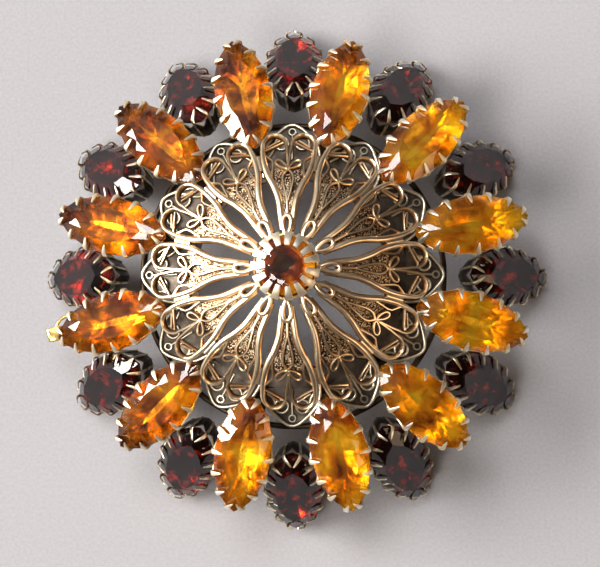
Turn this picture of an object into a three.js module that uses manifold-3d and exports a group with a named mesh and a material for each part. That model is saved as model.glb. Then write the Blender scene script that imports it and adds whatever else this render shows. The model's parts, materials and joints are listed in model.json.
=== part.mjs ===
// A domed filigree brooch: an openwork dome with a round stone on top, a ring of twelve bright
// navette stones around its foot and a steeper ring of twelve dark navette stones below them.
// At the back a star-shaped frame carries the settings, a pin bar with hinge and safety catch,
// and one setting holds a small ring with a folded link. Millimetres, +Z out of the front,
// origin on the brooch's axis in the plane that its feet rest on.
import * as THREE from 'three';
import { mergeVertices } from 'three/addons/utils/BufferGeometryUtils.js';
import Module from 'manifold-3d';

const wasm = await Module();
wasm.setup();

const DEG = Math.PI / 180;

// ---- Clearances ----
const SOLDER_GAP = 0.3; // between two pieces that are soldered together
const SEAT_GAP = 0.5; // under the settings, which lean by hand
const GLASS_GAP = 0.25; // between a stone and its setting
const PIVOT_GAP = 0.05; // around the hinge rivet
const SLIDING_GAP = 0.12; // between the catch and its roller

// ---- Stones ----
const STONES_PER_RING = 12;
const NAVETTE_LENGTH = 15;
const NAVETTE_WIDTH = 7;
const NAVETTE_GIRDLE = 0.3;
const NAVETTE_CROWN = 1.2;
const NAVETTE_PAVILION = 2.5;
const NAVETTE_TABLE_SHARE = 0.62;
const NAVETTE_KEEL_LENGTH = 0.5; // of the pavilion's keel, as a share of the stone's length
const NAVETTE_KEEL_WIDTH = 0.12; // and of its width
const CHATON_DIAMETER = 7;
const CHATON_CROWN = 0.9;
const CHATON_PAVILION = 1.7;
const CHATON_SIDES = 16;
const CHATON_CULET_SHARE = 0.1;

// ---- Navette settings ----
const TEETH_PER_SETTING = 14;
const SETTING_WALL = 0.45;
const SETTING_FOOT_WALL = 0.22;
const SETTING_DEPTH = 3.6;
const SETTING_TAPER = 0.72; // the foot's outline as a share of the rim's
const TOOTH_HEIGHT = 0.55;
const TOOTH_NOTCH = 0.35; // how far the rim dips between two teeth, below the girdle

// ---- Upper ring: bright stones, almost flat ----
const UPPER_RADIUS = 23;
const UPPER_FOOT_RISE = 3.8894; // of the upper settings' feet above the middle of the lower ring
const UPPER_TILT = 18;
const UPPER_START = 15;
// how far each setting was turned and rolled when it was soldered, from the first stone on
const UPPER_TURNS = [-4, 0.5, 1, -2, 3, 1.5, -0.5, 0, 4.5, -2, 2, 0];
const UPPER_ROLLS = [2, -3, 3, -3, 2, -2, 3, 1, -3, 2, -2, 3];
const UPPER_TIPS = [1, -1, 1, 0, -1, 1, 0, 1, -1, -1, 1, 1];

// ---- Lower ring: dark stones, steep ----
const LOWER_RADIUS = 26.9;
const LOWER_TILT = 50;
const LOWER_START = 0;
const LOWER_TURNS = [1, -1, 0, 2, -2, 1, 0, -1, 2, 0, -2, 1];
const LOWER_TIPS = [0, 1, -1, 0, 1, -1, 0, -1, 1, 0, -1, 1];
const FOOT_FLAT = 0.25; // filed off the lowest corner of each setting so that the brooch sits flat

// ---- Dome ----
const DOME_RADIUS = 17.3;
const DOME_RISE = 7.2;
const DOME_WALL = 0.7;
const DOME_LIFT = 3.4; // of its rim above the middle of the upper ring
const DOME_PETALS = 12;
const DOME_SEGMENTS = 48;
const SLOT_START = 4.6;
const SLOT_END = 11.7;
const SLOT_WIDTH = 1.8;
const LOOP_RADIUS = 15; // of the scroll loops' centres
const LOOP_SPREAD = 1.85; // from a petal's middle to each loop's centre
const LOOP_HOLE = 1;
const LOOP_WIRE = 0.7;
const EYELET_RADIUS = 4.9;
const EYELET_HOLE = 0.4;

// ---- Centre setting and its rivet ----
const CHATON_TEETH = 15;
const CHATON_WALL = 0.45;
const CHATON_FOOT_RADIUS = 2.6;
const CHATON_FLOOR = 0.5;
const CHATON_SETTING_HEIGHT = 3.3;
const CENTRE_RIVET_RADIUS = 0.7;
const CENTRE_RIVET_HEAD = 1.25;
const CENTRE_HEAD_HEIGHT = 0.35;
const CENTRE_HEAD_CHAMFER = 0.3;

// ---- Lower filigree and back frame ----
const LACE_INNER = 11.6;
const LACE_VALLEY = 16.6;
const LACE_TIP = 19;
const LACE_WALL = 0.7;
const LACE_HOLE = 0.6;
const LACE_HOLE_RADIUS = 16.4;
const FRAME_INNER = 12;
const FRAME_OUTER = 15.4;
const FRAME_WALL = 0.9;
const ARM_WIDTH = 2.2;
const ARM_WALL = 0.85;
const HOOP_WIDTH = 1.6;
const HOOP_CLEARANCE = 0.3472; // between the hoop and the lower settings' feet
const HOOP_DROP = 1.4; // of the hoop's underside below the arms' middle

// ---- Pin ----
const BAR_OFFSET = 13.5; // above the centre, so that the brooch doesn't tip forwards and the dome hides it
const BAR_WIDTH = 3.2;
const BAR_WALL = 0.8;
const PIN_HEIGHT = 2.6;
const HINGE_X = -11.5;
const CATCH_X = 11;
const STEM_RADIUS = 0.5;
const STEM_OVERHANG = 3; // past the middle of the catch
const STEM_POINT = 5; // length of the tapered point
const KNUCKLE_RADIUS = 1.1;
const KNUCKLE_WIDTH = 1;
const EAR_WALL = 0.6;
const EAR_RADIUS = 1.35;
const EAR_GAP = 0.15;
const RIVET_RADIUS = 0.4;
const RIVET_HEAD_RADIUS = 0.8;
const RIVET_HEAD_HEIGHT = 0.3;
const CATCH_RADIUS = 1.9;
const CATCH_WALL = 0.5;
const CATCH_LENGTH = 2.6;
const CATCH_SLOT = 1.35;
const CATCH_POST_WALL = 0.8;
const ROLLER_WALL = 0.5;
const LEVER_WALL = 0.5;
const LEVER_REACH = 2.9;
const LEVER_WIDTH = 0.9;

// ---- Ring and link at the edge ----
const BAIL_SETTING = 6; // index of the upper setting that the ring is soldered under
const BAIL_TURN = -1.5; // degrees round the brooch from that setting's middle
const BAIL_RADIUS = 28.9;
const BAIL_RING_RADIUS = 2.05;
const BAIL_RING_WALL = 0.35;
const BAIL_RING_HEIGHT = 0.7;
const LINK_WIDTH = 1.7;
const LINK_WALL = 0.3;
const LINK_INWARD = 0.7; // room inside the link on each side of the ring's wall
const LINK_OUTWARD = 0.85;
const LINK_HALF_HEIGHT = 0.6;

// ---- Sizes that follow from the ones above ----
const RIM_HALF_LENGTH = NAVETTE_LENGTH / 2 + GLASS_GAP + SETTING_WALL;
const RIM_HALF_WIDTH = NAVETTE_WIDTH / 2 + GLASS_GAP + SETTING_WALL;
const LOWER_HEIGHT =
  SETTING_DEPTH * Math.cos(LOWER_TILT * DEG) +
  SETTING_TAPER * RIM_HALF_LENGTH * Math.sin(LOWER_TILT * DEG) -
  FOOT_FLAT;
const UPPER_HEIGHT = LOWER_HEIGHT + UPPER_FOOT_RISE + SETTING_DEPTH * Math.cos(UPPER_TILT * DEG);
const DOME_RIM_HEIGHT = UPPER_HEIGHT + DOME_LIFT;
const DOME_SPHERE = (DOME_RADIUS ** 2 + DOME_RISE ** 2) / (2 * DOME_RISE);
const DOME_APEX = DOME_RIM_HEIGHT + DOME_RISE;
const CHATON_SEAT = DOME_APEX + SOLDER_GAP;
const CHATON_GIRDLE = CHATON_SEAT + CHATON_SETTING_HEIGHT;

// Height of the plane that the upper settings stand on, at a distance from the brooch's axis.
function upperSeat(radius) {
  const tilt = UPPER_TILT * DEG;
  const footRadius = UPPER_RADIUS - SETTING_DEPTH * Math.sin(tilt);
  const footHeight = UPPER_HEIGHT - SETTING_DEPTH * Math.cos(tilt);
  return footHeight - (radius - footRadius) * Math.tan(tilt);
}

const laceTop = (radius) => upperSeat(radius) - SEAT_GAP;
const frameTop = (radius) => laceTop(radius) - LACE_WALL - SOLDER_GAP;
const HOOP_OUTER =
  LOWER_RADIUS -
  SETTING_DEPTH * Math.sin(LOWER_TILT * DEG) -
  SETTING_TAPER * RIM_HALF_LENGTH * Math.cos(LOWER_TILT * DEG) -
  HOOP_CLEARANCE;
const HOOP_INNER = HOOP_OUTER - HOOP_WIDTH;
const HOOP_MIDDLE = (HOOP_INNER + HOOP_OUTER) / 2;
const HOOP_TOP = frameTop(HOOP_MIDDLE) - FRAME_WALL / 2;
const HOOP_UNDERSIDE = HOOP_TOP - HOOP_DROP;
const BAR_TOP = HOOP_UNDERSIDE - SOLDER_GAP;
const BAR_UNDERSIDE = BAR_TOP - BAR_WALL;

// ---- Materials ----
function metal(color, roughness) {
  return new THREE.MeshStandardMaterial({ color, roughness, metalness: 1 });
}

function glass(color) {
  return new THREE.MeshStandardMaterial({ color, roughness: 0.05, metalness: 0, side: THREE.DoubleSide });
}

const ANTIQUED_GOLD = metal(0xb8956a, 0.35);
const DARKENED_BRASS = metal(0x6e5a40, 0.5);
const BRIGHT_PRONG = metal(0xe6d2a6, 0.25);
const YELLOW_GILT = metal(0xd8b45a, 0.2);
const PIN_METAL = metal(0xc9bfa2, 0.3);
const TOPAZ = glass(0xe08a10);
const SMOKED = glass(0x2a0d0a);

// ---- Solids ----
// Turns a closed three.js geometry into a solid that can be joined and cut.
function solid(geometry) {
  const bare = geometry.clone();
  bare.deleteAttribute('normal');
  bare.deleteAttribute('uv');
  const merged = mergeVertices(bare, 1e-4);
  const mesh = new wasm.Mesh({
    numProp: 3,
    vertProperties: new Float32Array(merged.attributes.position.array),
    triVerts: new Uint32Array(merged.index.array),
  });
  return new wasm.Manifold(mesh);
}

// Turns a solid back into a three.js geometry.
function geometryOf(body) {
  const mesh = body.getMesh();
  const geometry = new THREE.BufferGeometry();
  geometry.setAttribute('position', new THREE.BufferAttribute(new Float32Array(mesh.vertProperties), 3));
  geometry.setIndex(new THREE.BufferAttribute(new Uint32Array(mesh.triVerts), 1));
  geometry.computeVertexNormals();
  return geometry;
}

function joined(solids) {
  return solids.reduce((whole, next) => whole.add(next));
}

function without(body, cutters) {
  return cutters.reduce((rest, cutter) => rest.subtract(cutter), body);
}

// Joins a stack of rings, each with the same number of points, into one closed surface.
// With band true the last ring joins the first again; otherwise both end rings are capped.
function loft(rings, band = false) {
  const count = rings[0].length;
  const positions = rings.flat().flatMap((point) => [point.x, point.y, point.z]);
  const triangles = [];
  const steps = band ? rings.length : rings.length - 1;
  for (let ring = 0; ring < steps; ring += 1) {
    const low = ring * count;
    const high = ((ring + 1) % rings.length) * count;
    for (let i = 0; i < count; i += 1) {
      const next = (i + 1) % count;
      triangles.push(low + i, low + next, high + next, low + i, high + next, high + i);
    }
  }
  if (!band) {
    const top = (rings.length - 1) * count;
    for (let i = 1; i < count - 1; i += 1) {
      triangles.push(0, i + 1, i, top, top + i, top + i + 1);
    }
  }
  const geometry = new THREE.BufferGeometry();
  geometry.setAttribute('position', new THREE.Float32BufferAttribute(positions, 3));
  geometry.setIndex(triangles);
  geometry.computeVertexNormals();
  return geometry;
}

// The pointed oval between two equal arcs, anticlockwise from its tip on +X.
function navetteOutline(halfLength, halfWidth, points) {
  const arcRadius = (halfLength ** 2 + halfWidth ** 2) / (2 * halfWidth);
  const reach = Math.asin(halfLength / arcRadius);
  const perSide = points / 2;
  const outline = [];
  for (const side of [1, -1]) {
    for (let i = 0; i < perSide; i += 1) {
      const angle = reach * (1 - (2 * i) / perSide);
      const x = arcRadius * Math.sin(angle);
      const y = arcRadius * Math.cos(angle) - arcRadius + halfWidth;
      outline.push(new THREE.Vector2(side * x, side * y));
    }
  }
  return outline;
}

function circleOutline(radius, points) {
  return Array.from({ length: points }, (_, i) => {
    const angle = (2 * Math.PI * i) / points;
    return new THREE.Vector2(radius * Math.cos(angle), radius * Math.sin(angle));
  });
}

// Lifts an outline to a height, which is one number or one per point.
function ringAt(outline, height, scaleX = 1, scaleY = scaleX) {
  return outline.map((point, i) => {
    const z = Array.isArray(height) ? height[i] : height;
    return new THREE.Vector3(point.x * scaleX, point.y * scaleY, z);
  });
}

// An upright prism over an outline.
function prism(outline, bottom, top) {
  const geometry = new THREE.ExtrudeGeometry(new THREE.Shape(outline), {
    depth: top - bottom,
    bevelEnabled: false,
  });
  return geometry.translate(0, 0, bottom);
}

// A ring or cap turned round Z from a closed profile of [radius, height] pairs.
function turned(profile, segments) {
  const points = profile.map(([radius, height]) => new THREE.Vector2(radius, height));
  points.push(points[0].clone());
  return new THREE.LatheGeometry(points, segments).rotateX(Math.PI / 2);
}

// Makes sure that a turned body's faces point outwards.
function turnedSolid(profile, segments) {
  const geometry = turned(profile, segments);
  const body = solid(geometry);
  if (body.volume() > 0) {
    return body;
  }
  const index = geometry.index.array;
  for (let i = 0; i < index.length; i += 3) {
    [index[i], index[i + 1]] = [index[i + 1], index[i]];
  }
  return solid(geometry);
}

// A round bar along Y, centred on a point.
function crossBar(radius, length, segments, x, y, z) {
  return solid(new THREE.CylinderGeometry(radius, radius, length, segments).translate(x, y, z));
}

// Heights of a setting's rim: a tooth at every other point and a notch between teeth.
function toothHeights(points, low, high) {
  return Array.from({ length: points }, (_, i) => (i % 2 ? high : low));
}

// ---- Stones and settings ----
function navetteStone() {
  const outline = navetteOutline(NAVETTE_LENGTH / 2, NAVETTE_WIDTH / 2, TEETH_PER_SETTING);
  return loft([
    ringAt(outline, -NAVETTE_PAVILION, NAVETTE_KEEL_LENGTH, NAVETTE_KEEL_WIDTH),
    ringAt(outline, -NAVETTE_GIRDLE / 2),
    ringAt(outline, NAVETTE_GIRDLE / 2),
    ringAt(outline, NAVETTE_CROWN, NAVETTE_TABLE_SHARE),
  ]);
}

function navetteSetting() {
  const points = 2 * TEETH_PER_SETTING;
  const outer = navetteOutline(RIM_HALF_LENGTH, RIM_HALF_WIDTH, points);
  const inner = navetteOutline(RIM_HALF_LENGTH - SETTING_WALL, RIM_HALF_WIDTH - SETTING_WALL, points);
  const rim = toothHeights(points, -TOOTH_NOTCH, TOOTH_HEIGHT);
  const innerTaper =
    (SETTING_TAPER * RIM_HALF_WIDTH - SETTING_FOOT_WALL) / (RIM_HALF_WIDTH - SETTING_WALL);
  return loft(
    [
      ringAt(outer, -SETTING_DEPTH, SETTING_TAPER),
      ringAt(outer, rim),
      ringAt(inner, rim),
      ringAt(inner, -SETTING_DEPTH, innerTaper),
    ],
    true,
  );
}

// Cuts away what a placed body would have below the plane that the brooch rests on.
function filedFlat(geometry, placement) {
  const depth = 2 * SETTING_DEPTH;
  const reach = 2 * (LOWER_RADIUS + NAVETTE_LENGTH);
  const ground = new THREE.BoxGeometry(reach, reach, depth).translate(0, 0, -depth / 2);
  ground.applyMatrix4(placement.matrixWorld.clone().invert());
  return geometryOf(solid(geometry).subtract(solid(ground)));
}

// A place on a ring: turned round the brooch, out to the radius, tilted outwards and then
// turned and rolled by the small angles of hand work.
function ringPlace(ring, index) {
  const arm = new THREE.Group();
  arm.rotation.z = (ring.start + (360 / STONES_PER_RING) * index) * DEG;
  const seat = new THREE.Group();
  seat.position.set(ring.radius, 0, ring.height);
  seat.rotation.order = 'YXZ';
  const tilt = (ring.tilt + ring.tips[index]) * DEG;
  seat.rotation.set(ring.rolls[index] * DEG, tilt, ring.turns[index] * DEG);
  arm.add(seat);
  arm.updateMatrixWorld(true);
  return { arm, seat };
}

function namedMesh(name, geometry, material) {
  const mesh = new THREE.Mesh(geometry, material);
  mesh.name = name;
  return mesh;
}

function buildRing(ring) {
  const group = new THREE.Group();
  for (let i = 0; i < STONES_PER_RING; i += 1) {
    const number = String(i + 1).padStart(2, '0');
    const { arm, seat } = ringPlace(ring, i);
    const setting = ring.filed ? filedFlat(navetteSetting(), seat) : navetteSetting();
    seat.add(namedMesh(`${ring.name}_setting_${number}`, setting, ring.settingMaterial));
    seat.add(namedMesh(`${ring.name}_stone_${number}`, navetteStone(), ring.stoneMaterial));
    group.add(arm);
  }
  return group;
}

const UPPER_RING = {
  name: 'upper',
  radius: UPPER_RADIUS,
  height: UPPER_HEIGHT,
  tilt: UPPER_TILT,
  start: UPPER_START,
  turns: UPPER_TURNS,
  rolls: UPPER_ROLLS,
  tips: UPPER_TIPS,
  filed: false,
  settingMaterial: BRIGHT_PRONG,
  stoneMaterial: TOPAZ,
};

const LOWER_RING = {
  name: 'lower',
  radius: LOWER_RADIUS,
  height: LOWER_HEIGHT,
  tilt: LOWER_TILT,
  start: LOWER_START,
  turns: LOWER_TURNS,
  rolls: Array(STONES_PER_RING).fill(0),
  tips: LOWER_TIPS,
  filed: true,
  settingMaterial: DARKENED_BRASS,
  stoneMaterial: SMOKED,
};

// ---- Dome ----
// Height of the dome's outer surface at a distance from the axis.
function domeHeight(radius, wall = 0) {
  return DOME_APEX - DOME_SPHERE + Math.sqrt((DOME_SPHERE - wall) ** 2 - radius ** 2);
}

function domeShell() {
  const steps = 5;
  const profile = [];
  for (let i = 0; i <= steps; i += 1) {
    const radius = (DOME_RADIUS * (steps - i)) / steps;
    profile.push([radius, domeHeight(radius)]);
  }
  for (let i = 0; i <= steps; i += 1) {
    const radius = (DOME_RADIUS * i) / steps;
    profile.push([radius, domeHeight(radius, DOME_WALL)]);
  }
  return turnedSolid(profile, DOME_SEGMENTS);
}

// The dome seen from above: two round lobes to each petal with a notch between petals.
function domeOutline() {
  const outline = [];
  const lobe = LOOP_HOLE + LOOP_WIRE;
  const lobeAngle = Math.atan2(LOOP_SPREAD, LOOP_RADIUS);
  const centre = Math.hypot(LOOP_SPREAD, LOOP_RADIUS);
  for (let petal = 0; petal < DOME_PETALS; petal += 1) {
    for (const side of [-1, 1]) {
      const middle = (petal * 360 * DEG) / DOME_PETALS + side * lobeAngle;
      for (const swing of [-60, -20, 20, 60]) {
        const turn = middle + swing * DEG;
        const x = centre * Math.cos(middle) + lobe * Math.cos(turn);
        const y = centre * Math.sin(middle) + lobe * Math.sin(turn);
        outline.push(new THREE.Vector2(x, y));
      }
    }
  }
  return outline;
}

function domeCutters() {
  const below = DOME_RIM_HEIGHT - DOME_WALL * 3;
  const above = DOME_APEX + DOME_WALL;
  const slotMiddle = (SLOT_START + SLOT_END) / 2;
  const slot = navetteOutline((SLOT_END - SLOT_START) / 2, SLOT_WIDTH / 2, 10);
  const cutters = [];
  for (let petal = 0; petal < DOME_PETALS; petal += 1) {
    const angle = (petal * 360) / DOME_PETALS;
    const gap = (angle + 180 / DOME_PETALS) * DEG;
    cutters.push(solid(prism(slot, below, above).translate(slotMiddle, 0, 0).rotateZ(gap)));
    for (const side of [-1, 1]) {
      const loop = prism(circleOutline(LOOP_HOLE, 8), below, above);
      cutters.push(solid(loop.translate(LOOP_RADIUS, side * LOOP_SPREAD, 0).rotateZ(angle * DEG)));
    }
    const eyelet = prism(circleOutline(EYELET_HOLE, 6), below, above);
    cutters.push(solid(eyelet.translate(EYELET_RADIUS, 0, 0).rotateZ(angle * DEG)));
  }
  const rivetHole = circleOutline(CENTRE_RIVET_RADIUS + SLIDING_GAP, 12);
  cutters.push(solid(prism(rivetHole, below, above)));
  return cutters;
}

function buildDome() {
  const below = DOME_RIM_HEIGHT - DOME_WALL * 3;
  const blank = domeShell().intersect(solid(prism(domeOutline(), below, DOME_APEX + DOME_WALL)));
  return namedMesh('dome_filigree', geometryOf(without(blank, domeCutters())), ANTIQUED_GOLD);
}

// ---- Centre stone ----
function buildCentre() {
  const group = new THREE.Group();
  const stone = circleOutline(CHATON_DIAMETER / 2, CHATON_SIDES);
  const stoneShape = loft([
    ringAt(stone, CHATON_GIRDLE - CHATON_PAVILION, CHATON_CULET_SHARE),
    ringAt(stone, CHATON_GIRDLE - NAVETTE_GIRDLE / 2),
    ringAt(stone, CHATON_GIRDLE + NAVETTE_GIRDLE / 2),
    ringAt(stone, CHATON_GIRDLE + CHATON_CROWN, NAVETTE_TABLE_SHARE),
  ]);
  group.add(namedMesh('chaton_stone', stoneShape, TOPAZ));

  const points = 2 * CHATON_TEETH;
  const innerRadius = CHATON_DIAMETER / 2 + GLASS_GAP;
  const rim = toothHeights(points, CHATON_GIRDLE - TOOTH_NOTCH, CHATON_GIRDLE + TOOTH_HEIGHT);
  const outer = circleOutline(1, points);
  const outerRim = innerRadius + CHATON_WALL;
  const floorTop = CHATON_SEAT + CHATON_FLOOR;
  const hole = CENTRE_RIVET_RADIUS + SLIDING_GAP;
  const setting = loft(
    [
      ringAt(outer, CHATON_SEAT, CHATON_FOOT_RADIUS),
      ringAt(outer, rim, outerRim),
      ringAt(outer, rim, innerRadius),
      ringAt(outer, CHATON_GIRDLE - 2 * TOOTH_NOTCH, innerRadius - CHATON_WALL / 4),
      ringAt(outer, floorTop, CHATON_FOOT_RADIUS - CHATON_WALL),
      ringAt(outer, floorTop, hole),
      ringAt(outer, CHATON_SEAT, hole),
    ],
    true,
  );
  group.add(namedMesh('chaton_setting', setting, BRIGHT_PRONG));

  const shankTop = floorTop + PIVOT_GAP;
  const shankBottom = DOME_APEX - DOME_WALL - SOLDER_GAP;
  const rivet = turnedSolid(
    [
      [0, shankBottom - CENTRE_HEAD_HEIGHT],
      [CENTRE_RIVET_HEAD, shankBottom - CENTRE_HEAD_HEIGHT],
      [CENTRE_RIVET_HEAD, shankBottom],
      [CENTRE_RIVET_RADIUS, shankBottom],
      [CENTRE_RIVET_RADIUS, shankTop],
      [CENTRE_RIVET_HEAD, shankTop],
      [CENTRE_RIVET_HEAD - CENTRE_HEAD_CHAMFER, shankTop + CENTRE_HEAD_HEIGHT],
      [0, shankTop + CENTRE_HEAD_HEIGHT],
    ],
    12,
  );
  group.add(namedMesh('centre_rivet', geometryOf(rivet), DARKENED_BRASS));
  return group;
}

// ---- Lower filigree and frame ----
// A flat ring's cone that follows the upper settings' feet between two radii.
function conicalBand(inner, outer, top, wall, segments) {
  return turnedSolid(
    [
      [inner, top(inner)],
      [outer, top(outer)],
      [outer, top(outer) - wall],
      [inner, top(inner) - wall],
    ],
    segments,
  );
}

function buildLace() {
  const outline = [];
  for (let petal = 0; petal < STONES_PER_RING; petal += 1) {
    const middle = (petal * 360) / STONES_PER_RING;
    const rise = LACE_TIP - LACE_VALLEY;
    const corners = [[-15, 0], [-8, 0.35], [-4, 0.65], [0, 1], [4, 0.65], [8, 0.35]];
    for (const [swing, share] of corners) {
      const angle = (middle + swing) * DEG;
      const radius = LACE_VALLEY + rise * share;
      outline.push(new THREE.Vector2(radius * Math.cos(angle), radius * Math.sin(angle)));
    }
  }
  const below = laceTop(LACE_TIP) - 2 * LACE_WALL;
  const above = laceTop(LACE_INNER) + LACE_WALL;
  const band = conicalBand(LACE_INNER, LACE_TIP + LACE_WALL, laceTop, LACE_WALL, 36);
  const holes = [];
  for (let petal = 0; petal < STONES_PER_RING; petal += 1) {
    const hole = prism(circleOutline(LACE_HOLE, 6), below, above).translate(LACE_HOLE_RADIUS, 0, 0);
    holes.push(solid(hole.rotateZ((petal * 2 * Math.PI) / STONES_PER_RING)));
  }
  const lace = without(band.intersect(solid(prism(outline, below, above))), holes);
  return namedMesh('base_filigree', geometryOf(lace), DARKENED_BRASS);
}

function buildFrame() {
  const band = conicalBand(FRAME_INNER, FRAME_OUTER, frameTop, FRAME_WALL, 36);
  const hoop = turnedSolid(
    [
      [HOOP_INNER, HOOP_TOP],
      [HOOP_OUTER, HOOP_TOP],
      [HOOP_OUTER, HOOP_UNDERSIDE],
      [HOOP_INNER, HOOP_UNDERSIDE],
    ],
    36,
  );
  const armStart = (FRAME_INNER + FRAME_OUTER) / 2;
  const armEnd = HOOP_MIDDLE;
  const tilt = UPPER_TILT * DEG;
  const armLength = (armEnd - armStart) / Math.cos(tilt);
  const arms = [];
  for (let i = 0; i < STONES_PER_RING; i += 1) {
    const arm = new THREE.BoxGeometry(armLength, ARM_WIDTH, ARM_WALL);
    arm.rotateY(tilt);
    const middle = (armStart + armEnd) / 2;
    arm.translate(middle, 0, frameTop(middle) - FRAME_WALL / 2);
    arm.rotateZ((UPPER_START + (360 / STONES_PER_RING) * i) * DEG);
    arms.push(solid(arm));
  }
  return namedMesh('back_frame', geometryOf(joined([band, hoop, ...arms])), DARKENED_BRASS);
}

// ---- Pin ----
// A C-shaped outline, open downwards, with its mouth as wide as the slot.
function cShape(outerRadius, innerRadius, slot, points) {
  const outerMouth = Math.asin(slot / 2 / outerRadius);
  const innerMouth = Math.asin(slot / 2 / innerRadius);
  const outline = [];
  for (let i = 0; i <= points; i += 1) {
    const angle = -Math.PI / 2 + outerMouth + ((2 * Math.PI - 2 * outerMouth) * i) / points;
    outline.push(new THREE.Vector2(outerRadius * Math.cos(angle), outerRadius * Math.sin(angle)));
  }
  for (let i = points; i >= 0; i -= 1) {
    const angle = -Math.PI / 2 + innerMouth + ((2 * Math.PI - 2 * innerMouth) * i) / points;
    outline.push(new THREE.Vector2(innerRadius * Math.cos(angle), innerRadius * Math.sin(angle)));
  }
  return outline;
}

// Extrudes an outline in the YZ plane along X and sets it on the pin's line.
function alongPin(outline, start, end) {
  const geometry = prism(outline, start, end);
  geometry.rotateX(Math.PI / 2).rotateZ(Math.PI / 2);
  return solid(geometry.translate(0, BAR_OFFSET, PIN_HEIGHT));
}

function box(x0, x1, y0, y1, z0, z1) {
  const geometry = new THREE.BoxGeometry(x1 - x0, y1 - y0, z1 - z0);
  return solid(geometry.translate((x0 + x1) / 2, (y0 + y1) / 2, (z0 + z1) / 2));
}

function buildPinBar() {
  const halfLength = Math.sqrt(HOOP_MIDDLE ** 2 - BAR_OFFSET ** 2);
  const low = BAR_OFFSET - BAR_WIDTH / 2;
  const high = BAR_OFFSET + BAR_WIDTH / 2;
  const pieces = [box(-halfLength, halfLength, low, high, BAR_UNDERSIDE, BAR_TOP)];

  const earInner = KNUCKLE_WIDTH / 2 + EAR_GAP;
  for (const side of [-1, 1]) {
    const y = BAR_OFFSET + side * (earInner + EAR_WALL / 2);
    const disc = crossBar(EAR_RADIUS, EAR_WALL, 12, HINGE_X, y, PIN_HEIGHT);
    const top = BAR_UNDERSIDE + BAR_WALL / 2;
    const near = y - EAR_WALL / 2;
    const neck = box(HINGE_X - EAR_RADIUS, HINGE_X + EAR_RADIUS, near, near + EAR_WALL, PIN_HEIGHT, top);
    const hole = crossBar(RIVET_RADIUS + PIVOT_GAP, 2 * EAR_WALL, 12, HINGE_X, y, PIN_HEIGHT);
    pieces.push(disc.add(neck).subtract(hole));
  }

  const catchStart = CATCH_X - CATCH_LENGTH / 2;
  const catchEnd = CATCH_X + CATCH_LENGTH / 2;
  const hollow = CATCH_RADIUS - CATCH_WALL;
  pieces.push(alongPin(cShape(CATCH_RADIUS, hollow, CATCH_SLOT, 14), catchStart, catchEnd));
  const postHalf = CATCH_POST_WALL / 2;
  const postFoot = PIN_HEIGHT + CATCH_RADIUS - CATCH_WALL / 2;
  const postTop = BAR_UNDERSIDE + BAR_WALL / 2;
  pieces.push(
    box(catchStart, catchEnd, BAR_OFFSET - postHalf, BAR_OFFSET + postHalf, postFoot, postTop),
  );
  return namedMesh('pin_bar', geometryOf(joined(pieces)), ANTIQUED_GOLD);
}

function buildPinStem() {
  const knuckle = crossBar(KNUCKLE_RADIUS, KNUCKLE_WIDTH, 12, HINGE_X, BAR_OFFSET, PIN_HEIGHT);
  const hole = crossBar(RIVET_RADIUS + PIVOT_GAP, 2 * KNUCKLE_WIDTH, 12, HINGE_X, BAR_OFFSET, PIN_HEIGHT);
  const start = HINGE_X + (RIVET_RADIUS + PIVOT_GAP + KNUCKLE_RADIUS) / 2;
  const end = CATCH_X + STEM_OVERHANG;
  const needle = turnedSolid(
    [
      [0, 0],
      [STEM_RADIUS, 0],
      [STEM_RADIUS, end - start - STEM_POINT],
      [STEM_RADIUS / 5, end - start],
      [0, end - start],
    ],
    8,
  );
  const laid = geometryOf(needle).rotateY(Math.PI / 2);
  const shaft = solid(laid.translate(start, BAR_OFFSET, PIN_HEIGHT));
  return namedMesh('pin_stem', geometryOf(knuckle.add(shaft).subtract(hole)), PIN_METAL);
}

function buildPinRivet() {
  const reach = KNUCKLE_WIDTH / 2 + EAR_GAP + EAR_WALL + PIVOT_GAP;
  const parts = [crossBar(RIVET_RADIUS, 2 * reach, 12, HINGE_X, BAR_OFFSET, PIN_HEIGHT)];
  for (const side of [-1, 1]) {
    const y = BAR_OFFSET + side * (reach + RIVET_HEAD_HEIGHT / 2);
    parts.push(crossBar(RIVET_HEAD_RADIUS, RIVET_HEAD_HEIGHT, 12, HINGE_X, y, PIN_HEIGHT));
  }
  return namedMesh('pin_rivet', geometryOf(joined(parts)), PIN_METAL);
}

function buildCatchRoller() {
  const radius = CATCH_RADIUS - CATCH_WALL - SLIDING_GAP;
  const inner = radius - ROLLER_WALL;
  const start = CATCH_X - CATCH_LENGTH / 2;
  const leverStart = CATCH_X + CATCH_LENGTH / 2 + SLIDING_GAP;
  const leverEnd = leverStart + LEVER_WALL;
  const sleeve = alongPin(cShape(radius, inner, CATCH_SLOT, 12), start, leverEnd);
  const collar = alongPin(cShape(CATCH_RADIUS, inner, CATCH_SLOT, 12), leverStart, leverEnd);
  const lever = box(
    leverStart,
    leverEnd,
    BAR_OFFSET + radius,
    BAR_OFFSET + LEVER_REACH,
    PIN_HEIGHT - LEVER_WIDTH / 2,
    PIN_HEIGHT + LEVER_WIDTH / 2,
  );
  return namedMesh('catch_roller', geometryOf(joined([sleeve, collar, lever])), YELLOW_GILT);
}

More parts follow.
